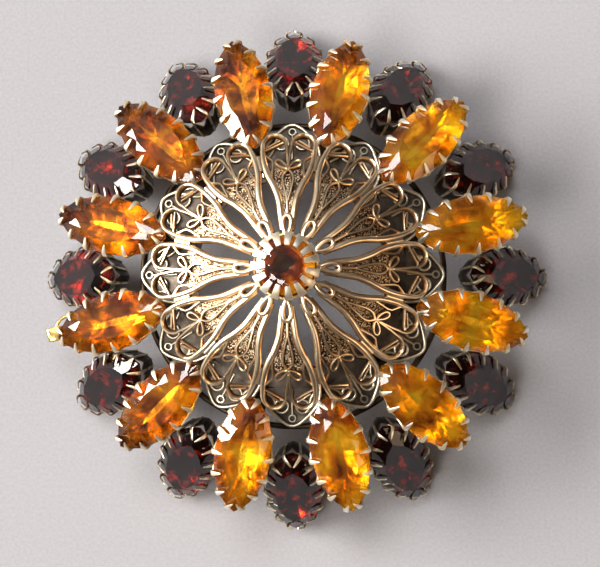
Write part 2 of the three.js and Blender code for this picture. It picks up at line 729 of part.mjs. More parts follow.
// ---- Ring and link ----
function buildBail() {
  const arm = new THREE.Group();
  arm.rotation.z = (UPPER_START + (360 / STONES_PER_RING) * BAIL_SETTING + BAIL_TURN) * DEG;
  const ringTop = upperSeat(BAIL_RADIUS - BAIL_RING_RADIUS) - SEAT_GAP - SOLDER_GAP;
  const ringBottom = ringTop - BAIL_RING_HEIGHT;
  const ring = turnedSolid(
    [
      [BAIL_RING_RADIUS - BAIL_RING_WALL, ringTop],
      [BAIL_RING_RADIUS, ringTop],
      [BAIL_RING_RADIUS, ringBottom],
      [BAIL_RING_RADIUS - BAIL_RING_WALL, ringBottom],
    ],
    20,
  );
  const ringMesh = namedMesh('bail_ring', geometryOf(ring), YELLOW_GILT);
  ringMesh.position.set(BAIL_RADIUS, 0, 0);
  arm.add(ringMesh);

  const wallMiddle = BAIL_RADIUS + BAIL_RING_RADIUS - BAIL_RING_WALL / 2;
  const middleHeight = (ringTop + ringBottom) / 2;
  const outer = [
    [-LINK_INWARD - LINK_WALL, -LINK_HALF_HEIGHT - LINK_WALL],
    [LINK_OUTWARD + LINK_WALL, LINK_HALF_HEIGHT + LINK_WALL],
  ];
  const strap = new THREE.Shape([
    new THREE.Vector2(outer[0][0], outer[0][1]),
    new THREE.Vector2(outer[1][0], outer[0][1]),
    new THREE.Vector2(outer[1][0], outer[1][1]),
    new THREE.Vector2(outer[0][0], outer[1][1]),
  ]);
  strap.holes.push(
    new THREE.Path([
      new THREE.Vector2(-LINK_INWARD, -LINK_HALF_HEIGHT),
      new THREE.Vector2(-LINK_INWARD, LINK_HALF_HEIGHT),
      new THREE.Vector2(LINK_OUTWARD, LINK_HALF_HEIGHT),
      new THREE.Vector2(LINK_OUTWARD, -LINK_HALF_HEIGHT),
    ]),
  );
  const link = new THREE.ExtrudeGeometry(strap, { depth: LINK_WIDTH, bevelEnabled: false });
  link.translate(0, 0, -LINK_WIDTH / 2).rotateX(Math.PI / 2);
  const linkMesh = namedMesh('bail_link', link, YELLOW_GILT);
  linkMesh.position.set(wallMiddle, 0, middleHeight);
  arm.add(linkMesh);
  return arm;
}

const brooch = new THREE.Group();
brooch.add(buildDome());
brooch.add(buildLace());
brooch.add(buildFrame());
brooch.add(buildCentre());
brooch.add(buildRing(UPPER_RING));
brooch.add(buildRing(LOWER_RING));
brooch.add(buildPinBar());
brooch.add(buildPinStem());
brooch.add(buildPinRivet());
brooch.add(buildCatchRoller());
brooch.add(buildBail());

export default brooch;
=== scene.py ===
"""A domed filigree brooch: pierced dome, claw-set navettes in two rings, and the pin work behind.

Shapes are worked out in millimetres on numpy grids and go into the meshes in metres.
"""
import json
import logging
import math
from collections.abc import Callable, Sequence
from dataclasses import dataclass, field
from enum import Enum

import bmesh
import bpy
import numpy as np
from mathutils import Matrix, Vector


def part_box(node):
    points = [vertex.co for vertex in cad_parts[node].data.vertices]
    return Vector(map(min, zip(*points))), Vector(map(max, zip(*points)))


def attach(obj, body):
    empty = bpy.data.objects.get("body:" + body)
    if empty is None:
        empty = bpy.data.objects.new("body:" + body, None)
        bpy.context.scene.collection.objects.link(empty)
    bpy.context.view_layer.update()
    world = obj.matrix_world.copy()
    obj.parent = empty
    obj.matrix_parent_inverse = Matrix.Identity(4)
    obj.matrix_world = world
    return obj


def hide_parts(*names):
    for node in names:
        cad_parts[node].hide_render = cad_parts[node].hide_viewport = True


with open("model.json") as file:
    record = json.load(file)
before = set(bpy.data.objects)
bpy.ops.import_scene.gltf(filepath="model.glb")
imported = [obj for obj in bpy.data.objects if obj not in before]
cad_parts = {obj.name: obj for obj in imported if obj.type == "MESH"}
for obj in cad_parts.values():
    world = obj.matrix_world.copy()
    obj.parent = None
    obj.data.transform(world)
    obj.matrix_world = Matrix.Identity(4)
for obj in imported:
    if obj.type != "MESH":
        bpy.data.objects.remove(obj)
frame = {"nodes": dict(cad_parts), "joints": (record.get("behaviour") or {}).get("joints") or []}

logging.basicConfig(level=logging.INFO, format="%(message)s")
LOG = logging.getLogger("brooch")

MM = 0.001
TURN = 2 * math.pi
RING_COUNT = 12
HALF_LENGTH = 7.5  # of every navette
HALF_WIDTH = 3.5
TIP_ROUNDING = 0.45  # how far the navette's outline goes from two arcs towards an ellipse
UPPER_TILT = math.radians(18.0)  # of the upper stones, and of the cone that they stand on
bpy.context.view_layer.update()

Tree = bpy.types.NodeTree
Outline = Callable[[np.ndarray, float], np.ndarray]  # shares of the way round and a scale to points
Surface = Callable[[np.ndarray, np.ndarray], tuple[np.ndarray, np.ndarray]]  # to points and normals


class Body(Enum):
    """The moving bodies of the brooch."""

    BROOCH = "brooch"
    PIN = "pin"
    ROLLER = "roller"
    LINK = "link"


class Slot(Enum):
    """The record's material slots."""

    ANTIQUED_GOLD = "antiqued_gold"
    DARKENED_BRASS = "darkened_brass"
    PRONG_GOLD = "prong_gold"
    YELLOW_GILT = "yellow_gilt"
    PIN_STEEL = "pin_steel"
    TOPAZ = "topaz_glass"
    GARNET = "garnet_glass"


# ---------------------------------------------------------------- surfaces


@dataclass
class Patch:
    """One closed surface in millimetres.

    Attributes:
        points: vertices, one row each.
        faces: arrays of corner indices, each array with one number of corners.
        relief: per vertex, 0 deep in the stamping to 1 on the rubbed tops.
        material: index of the material on the object.
    """

    points: np.ndarray
    faces: list[np.ndarray]
    relief: np.ndarray
    material: int = 0

    def volume(self) -> float:
        """The signed volume: a sixth of the sum of a . (b x c) over the faces' triangles.

        Returns:
            The volume in cubic millimetres, below 0 if the faces point in.
        """
        total = 0.0
        for block in self.faces:
            first = self.points[block[:, 0]]
            for corner in range(1, block.shape[1] - 1):
                second = self.points[block[:, corner]]
                third = self.points[block[:, corner + 1]]
                total += float(np.einsum("ij,ij->i", first, np.cross(second, third)).sum())
        return total / 6

    def outward(self) -> "Patch":
        """Turns the faces round if they point in.

        Returns:
            This surface.
        """
        if self.volume() < 0:
            self.faces = [block[:, ::-1] for block in self.faces]
        return self


def grid_patch(
    points: np.ndarray,
    relief: np.ndarray | float = 1.0,
    closed_rows: bool = False,
    material: int = 0,
) -> Patch:
    """Joins a grid of points into a closed surface.

    Columns always close on themselves. Rows close on themselves like a torus, or the first and
    last row are each shut by one face.

    Args:
        points: array of rows x columns x 3.
        relief: one value, or one per point.
        closed_rows: True for a surface that closes both ways.
        material: index of the material on the object.

    Returns:
        The closed patch, facing out.
    """
    rows, columns = points.shape[:2]
    index = np.arange(rows * columns).reshape(rows, columns)
    upper = np.roll(index, -1, axis=0) if closed_rows else index[1:]
    lower = index if closed_rows else index[:-1]
    quads = np.stack(
        [lower, np.roll(lower, -1, 1), np.roll(upper, -1, 1), upper], axis=-1
    ).reshape(-1, 4)
    faces = [quads]
    if not closed_rows:
        faces += [index[:1, ::-1], index[-1:]]
    values = np.broadcast_to(np.asarray(relief, float), (rows, columns)).reshape(-1)
    return Patch(points.reshape(-1, 3), faces, values, material).outward()


def unit(vectors: np.ndarray) -> np.ndarray:
    """Each vector, along the last axis, divided by its length."""
    return vectors / np.maximum(np.linalg.norm(vectors, axis=-1, keepdims=True), 1e-12)


def smooth_path(points: Sequence[Sequence[float]], steps: int, closed: bool = False) -> np.ndarray:
    """A Catmull-Rom curve through the points: a cubic between each two, whose slope at a point is
    half the way from the point before it to the point after it.

    Args:
        points: the points that the curve passes through.
        steps: how many points the result has.
        closed: True for a loop, whose first point isn't repeated at its end.

    Returns:
        Array of steps x dimensions.
    """
    knots = np.asarray(points, float)
    if closed:
        knots = np.vstack([knots[-1:], knots, knots[:2]])
        spans = len(points)
    else:
        knots = np.vstack([2 * knots[0] - knots[1], knots, 2 * knots[-1] - knots[-2]])
        spans = len(points) - 1
    where = np.linspace(0, spans, steps, endpoint=not closed)
    span = np.minimum(where.astype(int), spans - 1)
    t = (where - span)[:, None]
    a, b, c, d = (knots[span + k] for k in range(4))
    return 0.5 * (
        2 * b + (c - a) * t + (2 * a - 5 * b + 4 * c - d) * t**2 + (3 * b - a - 3 * c + d) * t**3
    )


def wire(
    path: np.ndarray,
    normals: np.ndarray,
    half_width: np.ndarray | float,
    half_height: np.ndarray | float,
    sides: int = 8,
    closed: bool = False,
    material: int = 0,
    fullness: float = 1.0,
) -> Patch:
    """A flattened wire along a path.

    Each section is a superellipse: its point is path + across * half_width * c + normal *
    half_height * s, with c and s the cosine and sine of the angle round it, their sizes raised to
    the fullness, and across square to the path and the normal. Its relief grows with the sine, so
    that the top of the wire is rubbed and its foot is dark.

    Args:
        path: points of the wire's middle.
        normals: the direction that is up at each point.
        half_width: half the wire's width, one value or one per point.
        half_height: half the wire's height, one value or one per point.
        sides: points round a section.
        closed: True for a loop.
        material: index of the material on the object.
        fullness: 1 for an ellipse, less for a flat bar with round corners.

    Returns:
        The closed patch.
    """
    ahead = np.roll(path, -1, 0) - np.roll(path, 1, 0) if closed else np.gradient(path, axis=0)
    across = unit(np.cross(normals, unit(ahead)))
    angle = (np.arange(sides) + 0.5) * TURN / sides
    cosine = np.sign(np.cos(angle)) * np.abs(np.cos(angle)) ** fullness
    sine = np.sign(np.sin(angle)) * np.abs(np.sin(angle)) ** fullness
    width = np.broadcast_to(half_width, len(path))[:, None, None]
    height = np.broadcast_to(half_height, len(path))[:, None, None]
    points = (
        path[:, None]
        + across[:, None] * width * cosine[None, :, None]
        + normals[:, None] * height * sine[None, :, None]
    )
    relief = np.broadcast_to((sine + 1) / 2, points.shape[:2])
    return grid_patch(points, relief, closed, material)


def revolve(
    profile: np.ndarray, segments: int, relief: np.ndarray | float = 1.0, material: int = 0
) -> Patch:
    """Turns a closed profile round Z: each point is (r cos q, r sin q, height).

    Args:
        profile: the profile's (radius, height) points.
        segments: steps round.
        relief: one value, or one per profile point.
        material: index of the material on the object.

    Returns:
        The closed ring.
    """
    angle = np.arange(segments) * TURN / segments
    radius, height = profile[:, 0], profile[:, 1]
    points = np.stack(
        [
            np.cos(angle)[:, None] * radius[None],
            np.sin(angle)[:, None] * radius[None],
            np.broadcast_to(height, (segments, len(height))),
        ],
        axis=-1,
    )
    return grid_patch(points, relief, True, material)


def rounded_box(width: float, height: float, corner: float, steps: int = 4) -> np.ndarray:
    """The outline of a rectangle with round corners: a quarter circle at each corner in turn.

    Args:
        width: its whole width.
        height: its whole height.
        corner: the corners' radius.
        steps: points in each corner.

    Returns:
        Array of points x 2 round the origin, anticlockwise.
    """
    sides = np.array([(1, 1), (-1, 1), (-1, -1), (1, -1)])
    turn = np.linspace(0, math.pi / 2, steps)[None] + np.arange(4)[:, None] * math.pi / 2
    centres = sides * np.array([width / 2 - corner, height / 2 - corner])
    arcs = corner * np.stack([np.cos(turn), np.sin(turn)], -1)
    return (centres[:, None] + arcs).reshape(-1, 2)


def navette(half_length: float, half_width: float, share: np.ndarray) -> np.ndarray:
    """The pointed oval between two equal arcs, with its tips a little rounded.

    With R = (a^2 + b^2) / 2b, an arc's point is (R sin q, R cos q - R + b). It is blended with the
    ellipse's point at the same share, (a cos, b sin). The share of the way round runs from 0 at the
    tip on +X over the +Y side to 0.5 at the other tip and on to 1.

    Args:
        half_length: half the distance between the tips, a.
        half_width: half the width, b.
        share: where on the outline, as shares of the way round.

    Returns:
        Array of points x 2.
    """
    arc = (half_length**2 + half_width**2) / (2 * half_width)
    reach = math.asin(half_length / arc)
    share = np.mod(share, 1.0)
    side = np.where(share < 0.5, 1.0, -1.0)
    swing = reach * (1 - 4 * np.mod(share, 0.5))
    rise = arc * np.cos(swing) - arc + half_width
    arcs = np.stack([side * arc * np.sin(swing), side * rise], -1)
    turn = TURN * share
    oval = np.stack([half_length * np.cos(turn), half_width * np.sin(turn)], -1)
    return arcs * (1 - TIP_ROUNDING) + oval * TIP_ROUNDING


def navette_outward(half_length: float, half_width: float, share: np.ndarray) -> np.ndarray:
    """The direction square to the pointed oval's outline: (dy, -dx) of a short step along it.

    Args:
        half_length: half the distance between the tips.
        half_width: half the width.
        share: where on the outline, as shares of the way round.

    Returns:
        Array of unit vectors x 2, away from the middle.
    """
    step = 0.004  # of the way round
    after, before = (navette(half_length, half_width, share + way) for way in (step, -step))
    ahead = after - before
    return unit(np.stack([ahead[..., 1], -ahead[..., 0]], axis=-1))


# ---------------------------------------------------------------- objects


def make_object(
    name: str,
    patches: Sequence[Patch],
    materials: Sequence[bpy.types.Material],
    smooth_below: float | None = 50.0,
) -> bpy.types.Object:
    """Puts closed patches into one mesh object, in metres.

    Args:
        name: the object's name.
        patches: the closed surfaces.
        materials: the materials that the patches' indices name.
        smooth_below: edges bent by fewer degrees are shaded smooth. None for flat facets.

    Returns:
        The new object, linked to the scene.
    """
    offsets = np.cumsum([0] + [len(patch.points) for patch in patches[:-1]])
    points = np.vstack([patch.points for patch in patches]) * MM
    relief = np.concatenate([patch.relief for patch in patches])
    corners, totals, slots = [], [], []
    for patch, offset in zip(patches, offsets):
        for block in patch.faces:
            corners.append((block + offset).reshape(-1))
            totals.append(np.full(len(block), block.shape[1]))
            slots.append(np.full(len(block), patch.material))
    corner_index = np.concatenate(corners).astype(np.int32)
    total = np.concatenate(totals).astype(np.int32)
    start = (np.cumsum(total) - total).astype(np.int32)

    mesh = bpy.data.meshes.new(name)
    mesh.vertices.add(len(points))
    mesh.vertices.foreach_set("co", points.astype(np.float32).reshape(-1))
    mesh.loops.add(len(corner_index))
    mesh.loops.foreach_set("vertex_index", corner_index)
    mesh.polygons.add(len(total))
    mesh.polygons.foreach_set("loop_start", start)
    mesh.polygons.foreach_set("loop_total", total)
    for material in materials:
        mesh.materials.append(material)
    mesh.polygons.foreach_set("material_index", np.concatenate(slots).astype(np.int32))
    mesh.polygons.foreach_set("use_smooth", np.full(len(total), smooth_below is not None))
    mesh.update(calc_edges=True)
    mesh.validate()
    attribute = mesh.attributes.new("relief", "FLOAT", "POINT")
    attribute.data.foreach_set("value", relief.astype(np.float32))
    if smooth_below is not None:
        mesh.set_sharp_from_angle(angle=math.radians(smooth_below))
    piece = bpy.data.objects.new(name, mesh)
    bpy.context.scene.collection.objects.link(piece)
    return piece


def settle(piece: bpy.types.Object, body: Body, slot: Slot, *nodes: str) -> None:
    """Makes a piece ride on its body and stand for its CAD nodes.

    Args:
        piece: the finished object.
        body: the body it moves with.
        slot: its material slot in the record; not used.
        nodes: the CAD nodes it stands for, if any.
    """
    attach(piece, body.value)
    if nodes:
        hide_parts(*nodes)
    LOG.info("%s: %d faces on %s", piece.name, len(piece.data.polygons), body.value)


def box_mm(node: str) -> tuple[np.ndarray, np.ndarray]:
    """A CAD node's lowest and highest corners in millimetres."""
    low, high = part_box(node)
    return np.array(low) / MM, np.array(high) / MM


def pivot_mm(joint: str) -> np.ndarray:
    """A joint's place in millimetres."""
    found = next(entry for entry in frame["joints"] if entry["name"] == joint)
    return np.array(found["pos_m"]) / MM


# ---------------------------------------------------------------- finishes


def srgb(code: str) -> tuple[float, float, float, float]:
    """Turns a hex colour to linear: c / 12.92 below 0.04045, else ((c + 0.055) / 1.055) ^ 2.4.

    Args:
        code: the sRGB colour, as #RRGGBB.

    Returns:
        Red, green, blue and a full alpha.
    """
    values = np.array([int(code[i : i + 2], 16) for i in (1, 3, 5)]) / 255
    linear = np.where(values <= 0.04045, values / 12.92, ((values + 0.055) / 1.055) ** 2.4)
    return (float(linear[0]), float(linear[1]), float(linear[2]), 1.0)


def add_node(
    tree: Tree,
    kind: str,
    settings: dict | None = None,
    inputs: dict | None = None,
    stops: Sequence[tuple[float, str]] = (),
) -> bpy.types.Node:
    """Adds a node with its settings and its inputs, each a value or a socket to link.

    Args:
        tree: the node tree.
        kind: the node's type name.
        settings: the node's own properties.
        inputs: socket name or number to value or output socket.
        stops: places and hex colours, in order, where the node has a ramp.

    Returns:
        The new node.
    """
    node = tree.nodes.new(kind)
    for name, value in (settings or {}).items():
        setattr(node, name, value)
    for name, value in (inputs or {}).items():
        if isinstance(value, bpy.types.NodeSocket):
            tree.links.new(value, node.inputs[name])
        else:
            node.inputs[name].default_value = value
    for index, (place, code) in enumerate(stops):
        elements = node.color_ramp.elements
        element = elements[index] if index < len(elements) else elements.new(place)
        element.position = place
        element.color = srgb(code)
    return node


def new_surface(name: str) -> tuple[bpy.types.Material, Tree]:
    """Makes an empty material.

    Args:
        name: the material's name.

    Returns:
        The material and its node tree.
    """
    material = bpy.data.materials.new(name)
    material.use_nodes = True
    material.node_tree.nodes.clear()
    return material, material.node_tree


@dataclass(frozen=True)
class StampedMetal:
    """Stamped brass, gold plated and antiqued: a dark wash stays in the recesses and the high wires
    are rubbed bright, so colour and roughness follow the relief, broken up by worn spots."""

    name: str
    deep: str
    middle: str
    high: str
    top: str
    deep_roughness: float = 0.6
    top_roughness: float = 0.24
    wear_mm: float = 1.6
    wear_shift: float = 0.16
    grain_mm: float = 0.22
    grain_depth_mm: float = 0.012

    def material(self) -> bpy.types.Material:
        """Builds the material.

        Returns:
            The finished material.
        """
        material, tree = new_surface(self.name)
        place = add_node(tree, "ShaderNodeTexCoord").outputs["Object"]
        relief = add_node(tree, "ShaderNodeAttribute", {"attribute_name": "relief"}).outputs["Fac"]
        wear = add_node(
            tree,
            "ShaderNodeTexNoise",
            inputs={"Vector": place, "Scale": 1 / (self.wear_mm * MM), "Detail": 4.0},
        ).outputs["Fac"]
        shift = add_node(
            tree,
            "ShaderNodeMapRange",
            inputs={
                "Value": wear,
                "From Min": 0.3,
                "From Max": 0.7,
                "To Min": -self.wear_shift,
                "To Max": self.wear_shift,
            },
        ).outputs["Result"]
        height = add_node(
            tree, "ShaderNodeMath", {"operation": "ADD"}, {0: relief, 1: shift}
        ).outputs[0]
        colour = add_node(
            tree,
            "ShaderNodeValToRGB",
            inputs={"Fac": height},
            stops=[(0.08, self.deep), (0.42, self.middle), (0.72, self.high), (0.95, self.top)],
        ).outputs["Color"]
        rough = add_node(
            tree,
            "ShaderNodeMapRange",
            inputs={
                "Value": height,
                "From Min": 0.15,
                "From Max": 0.85,
                "To Min": self.deep_roughness,
                "To Max": self.top_roughness,
            },
        ).outputs["Result"]
        grain = add_node(
            tree,
            "ShaderNodeTexNoise",
            inputs={"Vector": place, "Scale": 1 / (self.grain_mm * MM), "Detail": 2.0},
        ).outputs["Fac"]
        bump = add_node(
            tree,
            "ShaderNodeBump",
            inputs={"Height": grain, "Distance": self.grain_depth_mm * MM, "Strength": 0.5},
        ).outputs["Normal"]
        shader = add_node(
            tree,
            "ShaderNodeBsdfPrincipled",
            inputs={"Base Color": colour, "Roughness": rough, "Normal": bump, "Metallic": 1.0},
        )
        add_node(tree, "ShaderNodeOutputMaterial", inputs={"Surface": shader.outputs[0]})
        return material


@dataclass(frozen=True)
class StippledMetal:
    """The punched ground of the petals: round grains a fifth of a millimetre apart, bright on top,
    with the dark wash between them."""

    name: str
    deep: str
    middle: str
    top: str
    grain_mm: float = 0.2
    depth_mm: float = 0.06
    roughness: float = 0.34

    def material(self) -> bpy.types.Material:
        """Builds the material.

        Returns:
            The finished material.
        """
        material, tree = new_surface(self.name)
        place = add_node(tree, "ShaderNodeTexCoord").outputs["Object"]
        grains = add_node(
            tree,
            "ShaderNodeTexVoronoi",
            {"feature": "F1"},
            {"Vector": place, "Scale": 1 / (self.grain_mm * MM), "Randomness": 0.9},
        ).outputs["Distance"]
        patches = add_node(
            tree,
            "ShaderNodeTexNoise",
            inputs={"Vector": place, "Scale": 1 / (4 * self.grain_mm * MM), "Detail": 3.0},
        ).outputs["Fac"]
        mixed = add_node(
            tree,
            "ShaderNodeMath",
            {"operation": "MULTIPLY_ADD"},
            {0: patches, 1: 0.5, 2: grains},
        ).outputs[0]
        colour = add_node(
            tree,
            "ShaderNodeValToRGB",
            inputs={"Fac": mixed},
            stops=[(0.5, self.top), (0.72, self.middle), (0.95, self.deep)],
        ).outputs["Color"]
        height = add_node(
            tree, "ShaderNodeMath", {"operation": "SUBTRACT"}, {0: 1.0, 1: grains}
        ).outputs[0]
        bump = add_node(
            tree,
            "ShaderNodeBump",
            inputs={"Height": height, "Distance": self.depth_mm * MM, "Strength": 0.9},
        ).outputs["Normal"]
        shader = add_node(
            tree,
            "ShaderNodeBsdfPrincipled",
            inputs={
                "Base Color": colour,
                "Normal": bump,
                "Metallic": 1.0,
                "Roughness": self.roughness,
            },
        )
        add_node(tree, "ShaderNodeOutputMaterial", inputs={"Surface": shader.outputs[0]})
        return material


@dataclass(frozen=True)
class PlatedMetal:
    """Plain plated metal, as on claws, wire and steel: nearly one colour, with fine rub marks that
    spread its highlights and a thin tarnish in patches."""

    name: str
    bright: str
    tarnish: str
    low_roughness: float = 0.16
    high_roughness: float = 0.34
    patch_mm: float = 1.2
    rub_mm: float = 0.12
    rub_depth_mm: float = 0.004

    def material(self) -> bpy.types.Material:
        """Builds the material.

        Returns:
            The finished material.
        """
        material, tree = new_surface(self.name)
        place = add_node(tree, "ShaderNodeTexCoord").outputs["Object"]
        patches = add_node(
            tree,
            "ShaderNodeTexNoise",
            inputs={"Vector": place, "Scale": 1 / (self.patch_mm * MM), "Detail": 3.0},
        ).outputs["Fac"]
        rubs = add_node(
            tree,
            "ShaderNodeTexNoise",
            inputs={"Vector": place, "Scale": 1 / (self.rub_mm * MM), "Detail": 2.0},
        ).outputs["Fac"]
        colour = add_node(
            tree,
            "ShaderNodeValToRGB",
            inputs={"Fac": patches},
            stops=[(0.38, self.tarnish), (0.58, self.bright)],
        ).outputs["Color"]
        rough = add_node(
            tree,
            "ShaderNodeMapRange",
            inputs={
                "Value": patches,
                "From Min": 0.35,
                "From Max": 0.65,
                "To Min": self.high_roughness,
                "To Max": self.low_roughness,
            },
        ).outputs["Result"]
        bump = add_node(
            tree,
            "ShaderNodeBump",
            inputs={"Height": rubs, "Distance": self.rub_depth_mm * MM, "Strength": 0.52},
        ).outputs["Normal"]
        shader = add_node(
            tree,
            "ShaderNodeBsdfPrincipled",
            inputs={"Base Color": colour, "Roughness": rough, "Normal": bump, "Metallic": 1.0},
        )
        add_node(tree, "ShaderNodeOutputMaterial", inputs={"Surface": shader.outputs[0]})
        return material


@dataclass(frozen=True)
class CutGlass:
    """Pressed and polished lead glass, tinted through: the crown that light enters by."""

    name: str
    tint: str
    ior: float = 1.6
    roughness: float = 0.02
    ripple_mm: float = 2.5
    ripple_depth_mm: float = 0.02

    def material(self) -> bpy.types.Material:
        """Builds the material. Slight ripples in the fired polish bend the light a little.

        Returns:
            The finished material.
        """
        material, tree = new_surface(self.name)
        place = add_node(tree, "ShaderNodeTexCoord").outputs["Object"]
        ripple = add_node(
            tree,
            "ShaderNodeTexNoise",
            inputs={"Vector": place, "Scale": 1 / (self.ripple_mm * MM), "Detail": 1.0},
        ).outputs["Fac"]
        bump = add_node(
            tree,
            "ShaderNodeBump",
            inputs={"Height": ripple, "Distance": self.ripple_depth_mm * MM, "Strength": 0.4},
        ).outputs["Normal"]
        shader = add_node(
            tree,
            "ShaderNodeBsdfPrincipled",
            inputs={
                "Base Color": srgb(self.tint),
                "Transmission Weight": 1.0,
                "IOR": self.ior,
                "Roughness": self.roughness,
                "Normal": bump,
            },
        )
        add_node(tree, "ShaderNodeOutputMaterial", inputs={"Surface": shader.outputs[0]})
        return material


@dataclass(frozen=True)
class GlassFoil:
    """The foil fired on a stone's back, seen through the glass: part mirror and part paint, crazed
    and aged in cloudy patches from bright to burnt. Each stone's tone is also shifted by painted
    light and shade, darker on one side of the brooch and brighter on the other, as the window
    lights the foils. A burnt middle makes it darker towards the keel."""

    name: str
    stops: tuple[tuple[float, str], ...]
    patch_mm: float = 3.2
    crackle_mm: float = 0.8
    roughness: float = 0.2
    crease_depth_mm: float = 0.04
    burnt_middle: float = 0.0
    shine: float = 0.45

    def material(self) -> bpy.types.Material:
        """Builds the material.

        Returns:
            The finished material.
        """
        material, tree = new_surface(self.name)
        place = add_node(tree, "ShaderNodeTexCoord").outputs["Object"]
        patches = add_node(
            tree,
            "ShaderNodeTexNoise",
            inputs={
                "Vector": place,
                "Scale": 1 / (self.patch_mm * MM),
                "Detail": 4.0,
                "Roughness": 0.5,
                "Distortion": 0.15,
            },
        ).outputs["Fac"]
        crackle = add_node(
            tree,
            "ShaderNodeTexNoise",
            inputs={"Vector": place, "Scale": 1 / (self.crackle_mm * MM), "Detail": 3.0},
        ).outputs["Fac"]
        rim = add_node(tree, "ShaderNodeAttribute", {"attribute_name": "relief"}).outputs["Fac"]
        middle = add_node(
            tree,
            "ShaderNodeMath",
            {"operation": "MULTIPLY_ADD"},
            {0: rim, 1: self.burnt_middle, 2: -self.burnt_middle},
        ).outputs[0]
        # painted light and shade: each stone's foil tone is shifted by the side of the brooch it
        # sits on
        painted_side_tone = add_node(tree, "ShaderNodeAttribute", {"attribute_name": "painted_side_light"}).outputs["Fac"]
        patches_and_side_light = add_node(tree, "ShaderNodeMath", {"operation": "ADD"}, {0: patches, 1: painted_side_tone})
        tone = add_node(
            tree, "ShaderNodeMath", {"operation": "ADD"}, {0: patches_and_side_light.outputs[0], 1: middle}
        ).outputs[0]
        colour = add_node(
            tree, "ShaderNodeValToRGB", inputs={"Fac": tone}, stops=self.stops
        ).outputs["Color"]
        bump = add_node(
            tree,
            "ShaderNodeBump",
            inputs={"Height": crackle, "Distance": self.crease_depth_mm * MM, "Strength": 0.7},
        ).outputs["Normal"]
        shader = add_node(
            tree,
            "ShaderNodeBsdfPrincipled",
            inputs={
                "Base Color": colour,
                "Normal": bump,
                "Metallic": self.shine,
                "Roughness": self.roughness,
            },
        )
        add_node(tree, "ShaderNodeOutputMaterial", inputs={"Surface": shader.outputs[0]})
        return material


@dataclass(frozen=True)
class Finishes:
    """Every material of the brooch, built once."""

    antiqued: bpy.types.Material
    stippled: bpy.types.Material
    shade_darkened: bpy.types.Material
    lace: bpy.types.Material
    claws: bpy.types.Material
    dark_claws: bpy.types.Material
    gilt: bpy.types.Material
    steel: bpy.types.Material
    topaz: bpy.types.Material
    topaz_foil: bpy.types.Material
    amber: bpy.types.Material
    amber_foil: bpy.types.Material
    garnet: bpy.types.Material
    garnet_foil: bpy.types.Material


def build_finishes() -> Finishes:
    """Builds every finish with its colours.

    Returns:
        The finishes.
    """
    return Finishes(
        antiqued=StampedMetal(
            "antiqued gold plate", "#22140C", "#7C5032", "#D2A878", "#F2DCB8", top_roughness=0.28
        ).material(),
        stippled=StippledMetal("stippled gold plate", "#2C2019", "#86694A", "#E6D2B0").material(),
        # painted shade: these dark colours make the back frame read as the shadow under the stones;
        # the lower cups and the rivet share them
        shade_darkened=StampedMetal(
            "darkened brass", "#120E0B", "#292019", "#4E4132", "#8A775A", top_roughness=0.36
        ).material(),
        lace=StampedMetal(
            "greyed brass", "#191512", "#5A5047", "#A2967F", "#D8CEB6", top_roughness=0.34
        ).material(),
        claws=PlatedMetal("pale gold claws", "#FCF5E4", "#E2D0AA", 0.34, 0.5).material(),
        dark_claws=PlatedMetal("worn gold claws", "#F0E4C6", "#A08B66", 0.28, 0.45).material(),
        gilt=PlatedMetal("yellow gilt", "#F0D27E", "#B8934A", low_roughness=0.12).material(),
        steel=PlatedMetal("gold-washed steel", "#DDD3BC", "#A99F88", high_roughness=0.4).material(),
        topaz=CutGlass("topaz glass", "#FFE49C").material(),
        topaz_foil=GlassFoil(
            "topaz foil",
            ((0.32, "#703A06"), (0.42, "#B67A0E"), (0.53, "#EEB01C"), (0.64, "#FFE448")),
            shine=0.78,
        ).material(),
        amber=CutGlass("burnt topaz glass", "#FFE4A8").material(),
        amber_foil=GlassFoil(
            "burnt topaz foil",
            ((0.1, "#240804"), (0.26, "#8E3A0C"), (0.38, "#E8921A"), (0.56, "#FFCC3C")),
            patch_mm=2.2,
            burnt_middle=0.5,
        ).material(),
        garnet=CutGlass("smoky garnet glass", "#B0584A", 1.52).material(),
        garnet_foil=GlassFoil(
            "smoky garnet foil",
            ((0.42, "#120404"), (0.52, "#4C1008"), (0.59, "#B03814"), (0.68, "#FF8A38")),
            patch_mm=1.8,
            shine=0.7,
        ).material(),
    )


# ---------------------------------------------------------------- stones and settings


@dataclass(frozen=True)
class StonePlace:
    """Where a stone sits: its middle and its own axes as rows, along the tips, across, and up."""

    middle: np.ndarray
    axes: np.ndarray

    @classmethod
    def of_node(cls, node: str) -> "StonePlace":
        """Finds the place of a stone from its CAD solid.

        The solid is the same on both sides of its two long planes, so the main axes of its corners
        are its own axes. The tips lie on its middle plane.

        Args:
            node: the stone's CAD node.

        Returns:
            The stone's place, with its first axis pointing away from the brooch's middle.
        """
        mesh = frame["nodes"][node].data
        flat = np.empty(len(mesh.vertices) * 3, np.float32)
        mesh.vertices.foreach_get("co", flat)
        corners = np.unique(np.round(flat.reshape(-1, 3) / MM, 4), axis=0)
        centre = corners.mean(0)
        _, _, rows = np.linalg.svd(corners - centre)
        along, across = rows[0], rows[1]
        radial = np.array([centre[0], centre[1], 0.0])
        if along @ radial < 0:
            along = -along
        up = np.cross(along, across)
        if up[2] < 0:
            up, across = -up, -across
        axes = np.stack([along, across, up])
        local = (corners - centre) @ axes.T
        tips = local[np.abs(local[:, 0]) > np.abs(local[:, 0]).max() - 0.05]
        return cls(centre + tips.mean(0) @ axes, axes)

    def put(self, points: np.ndarray) -> np.ndarray:
        """Carries points from the stone's own axes to the brooch."""
        return self.middle + points @ self.axes


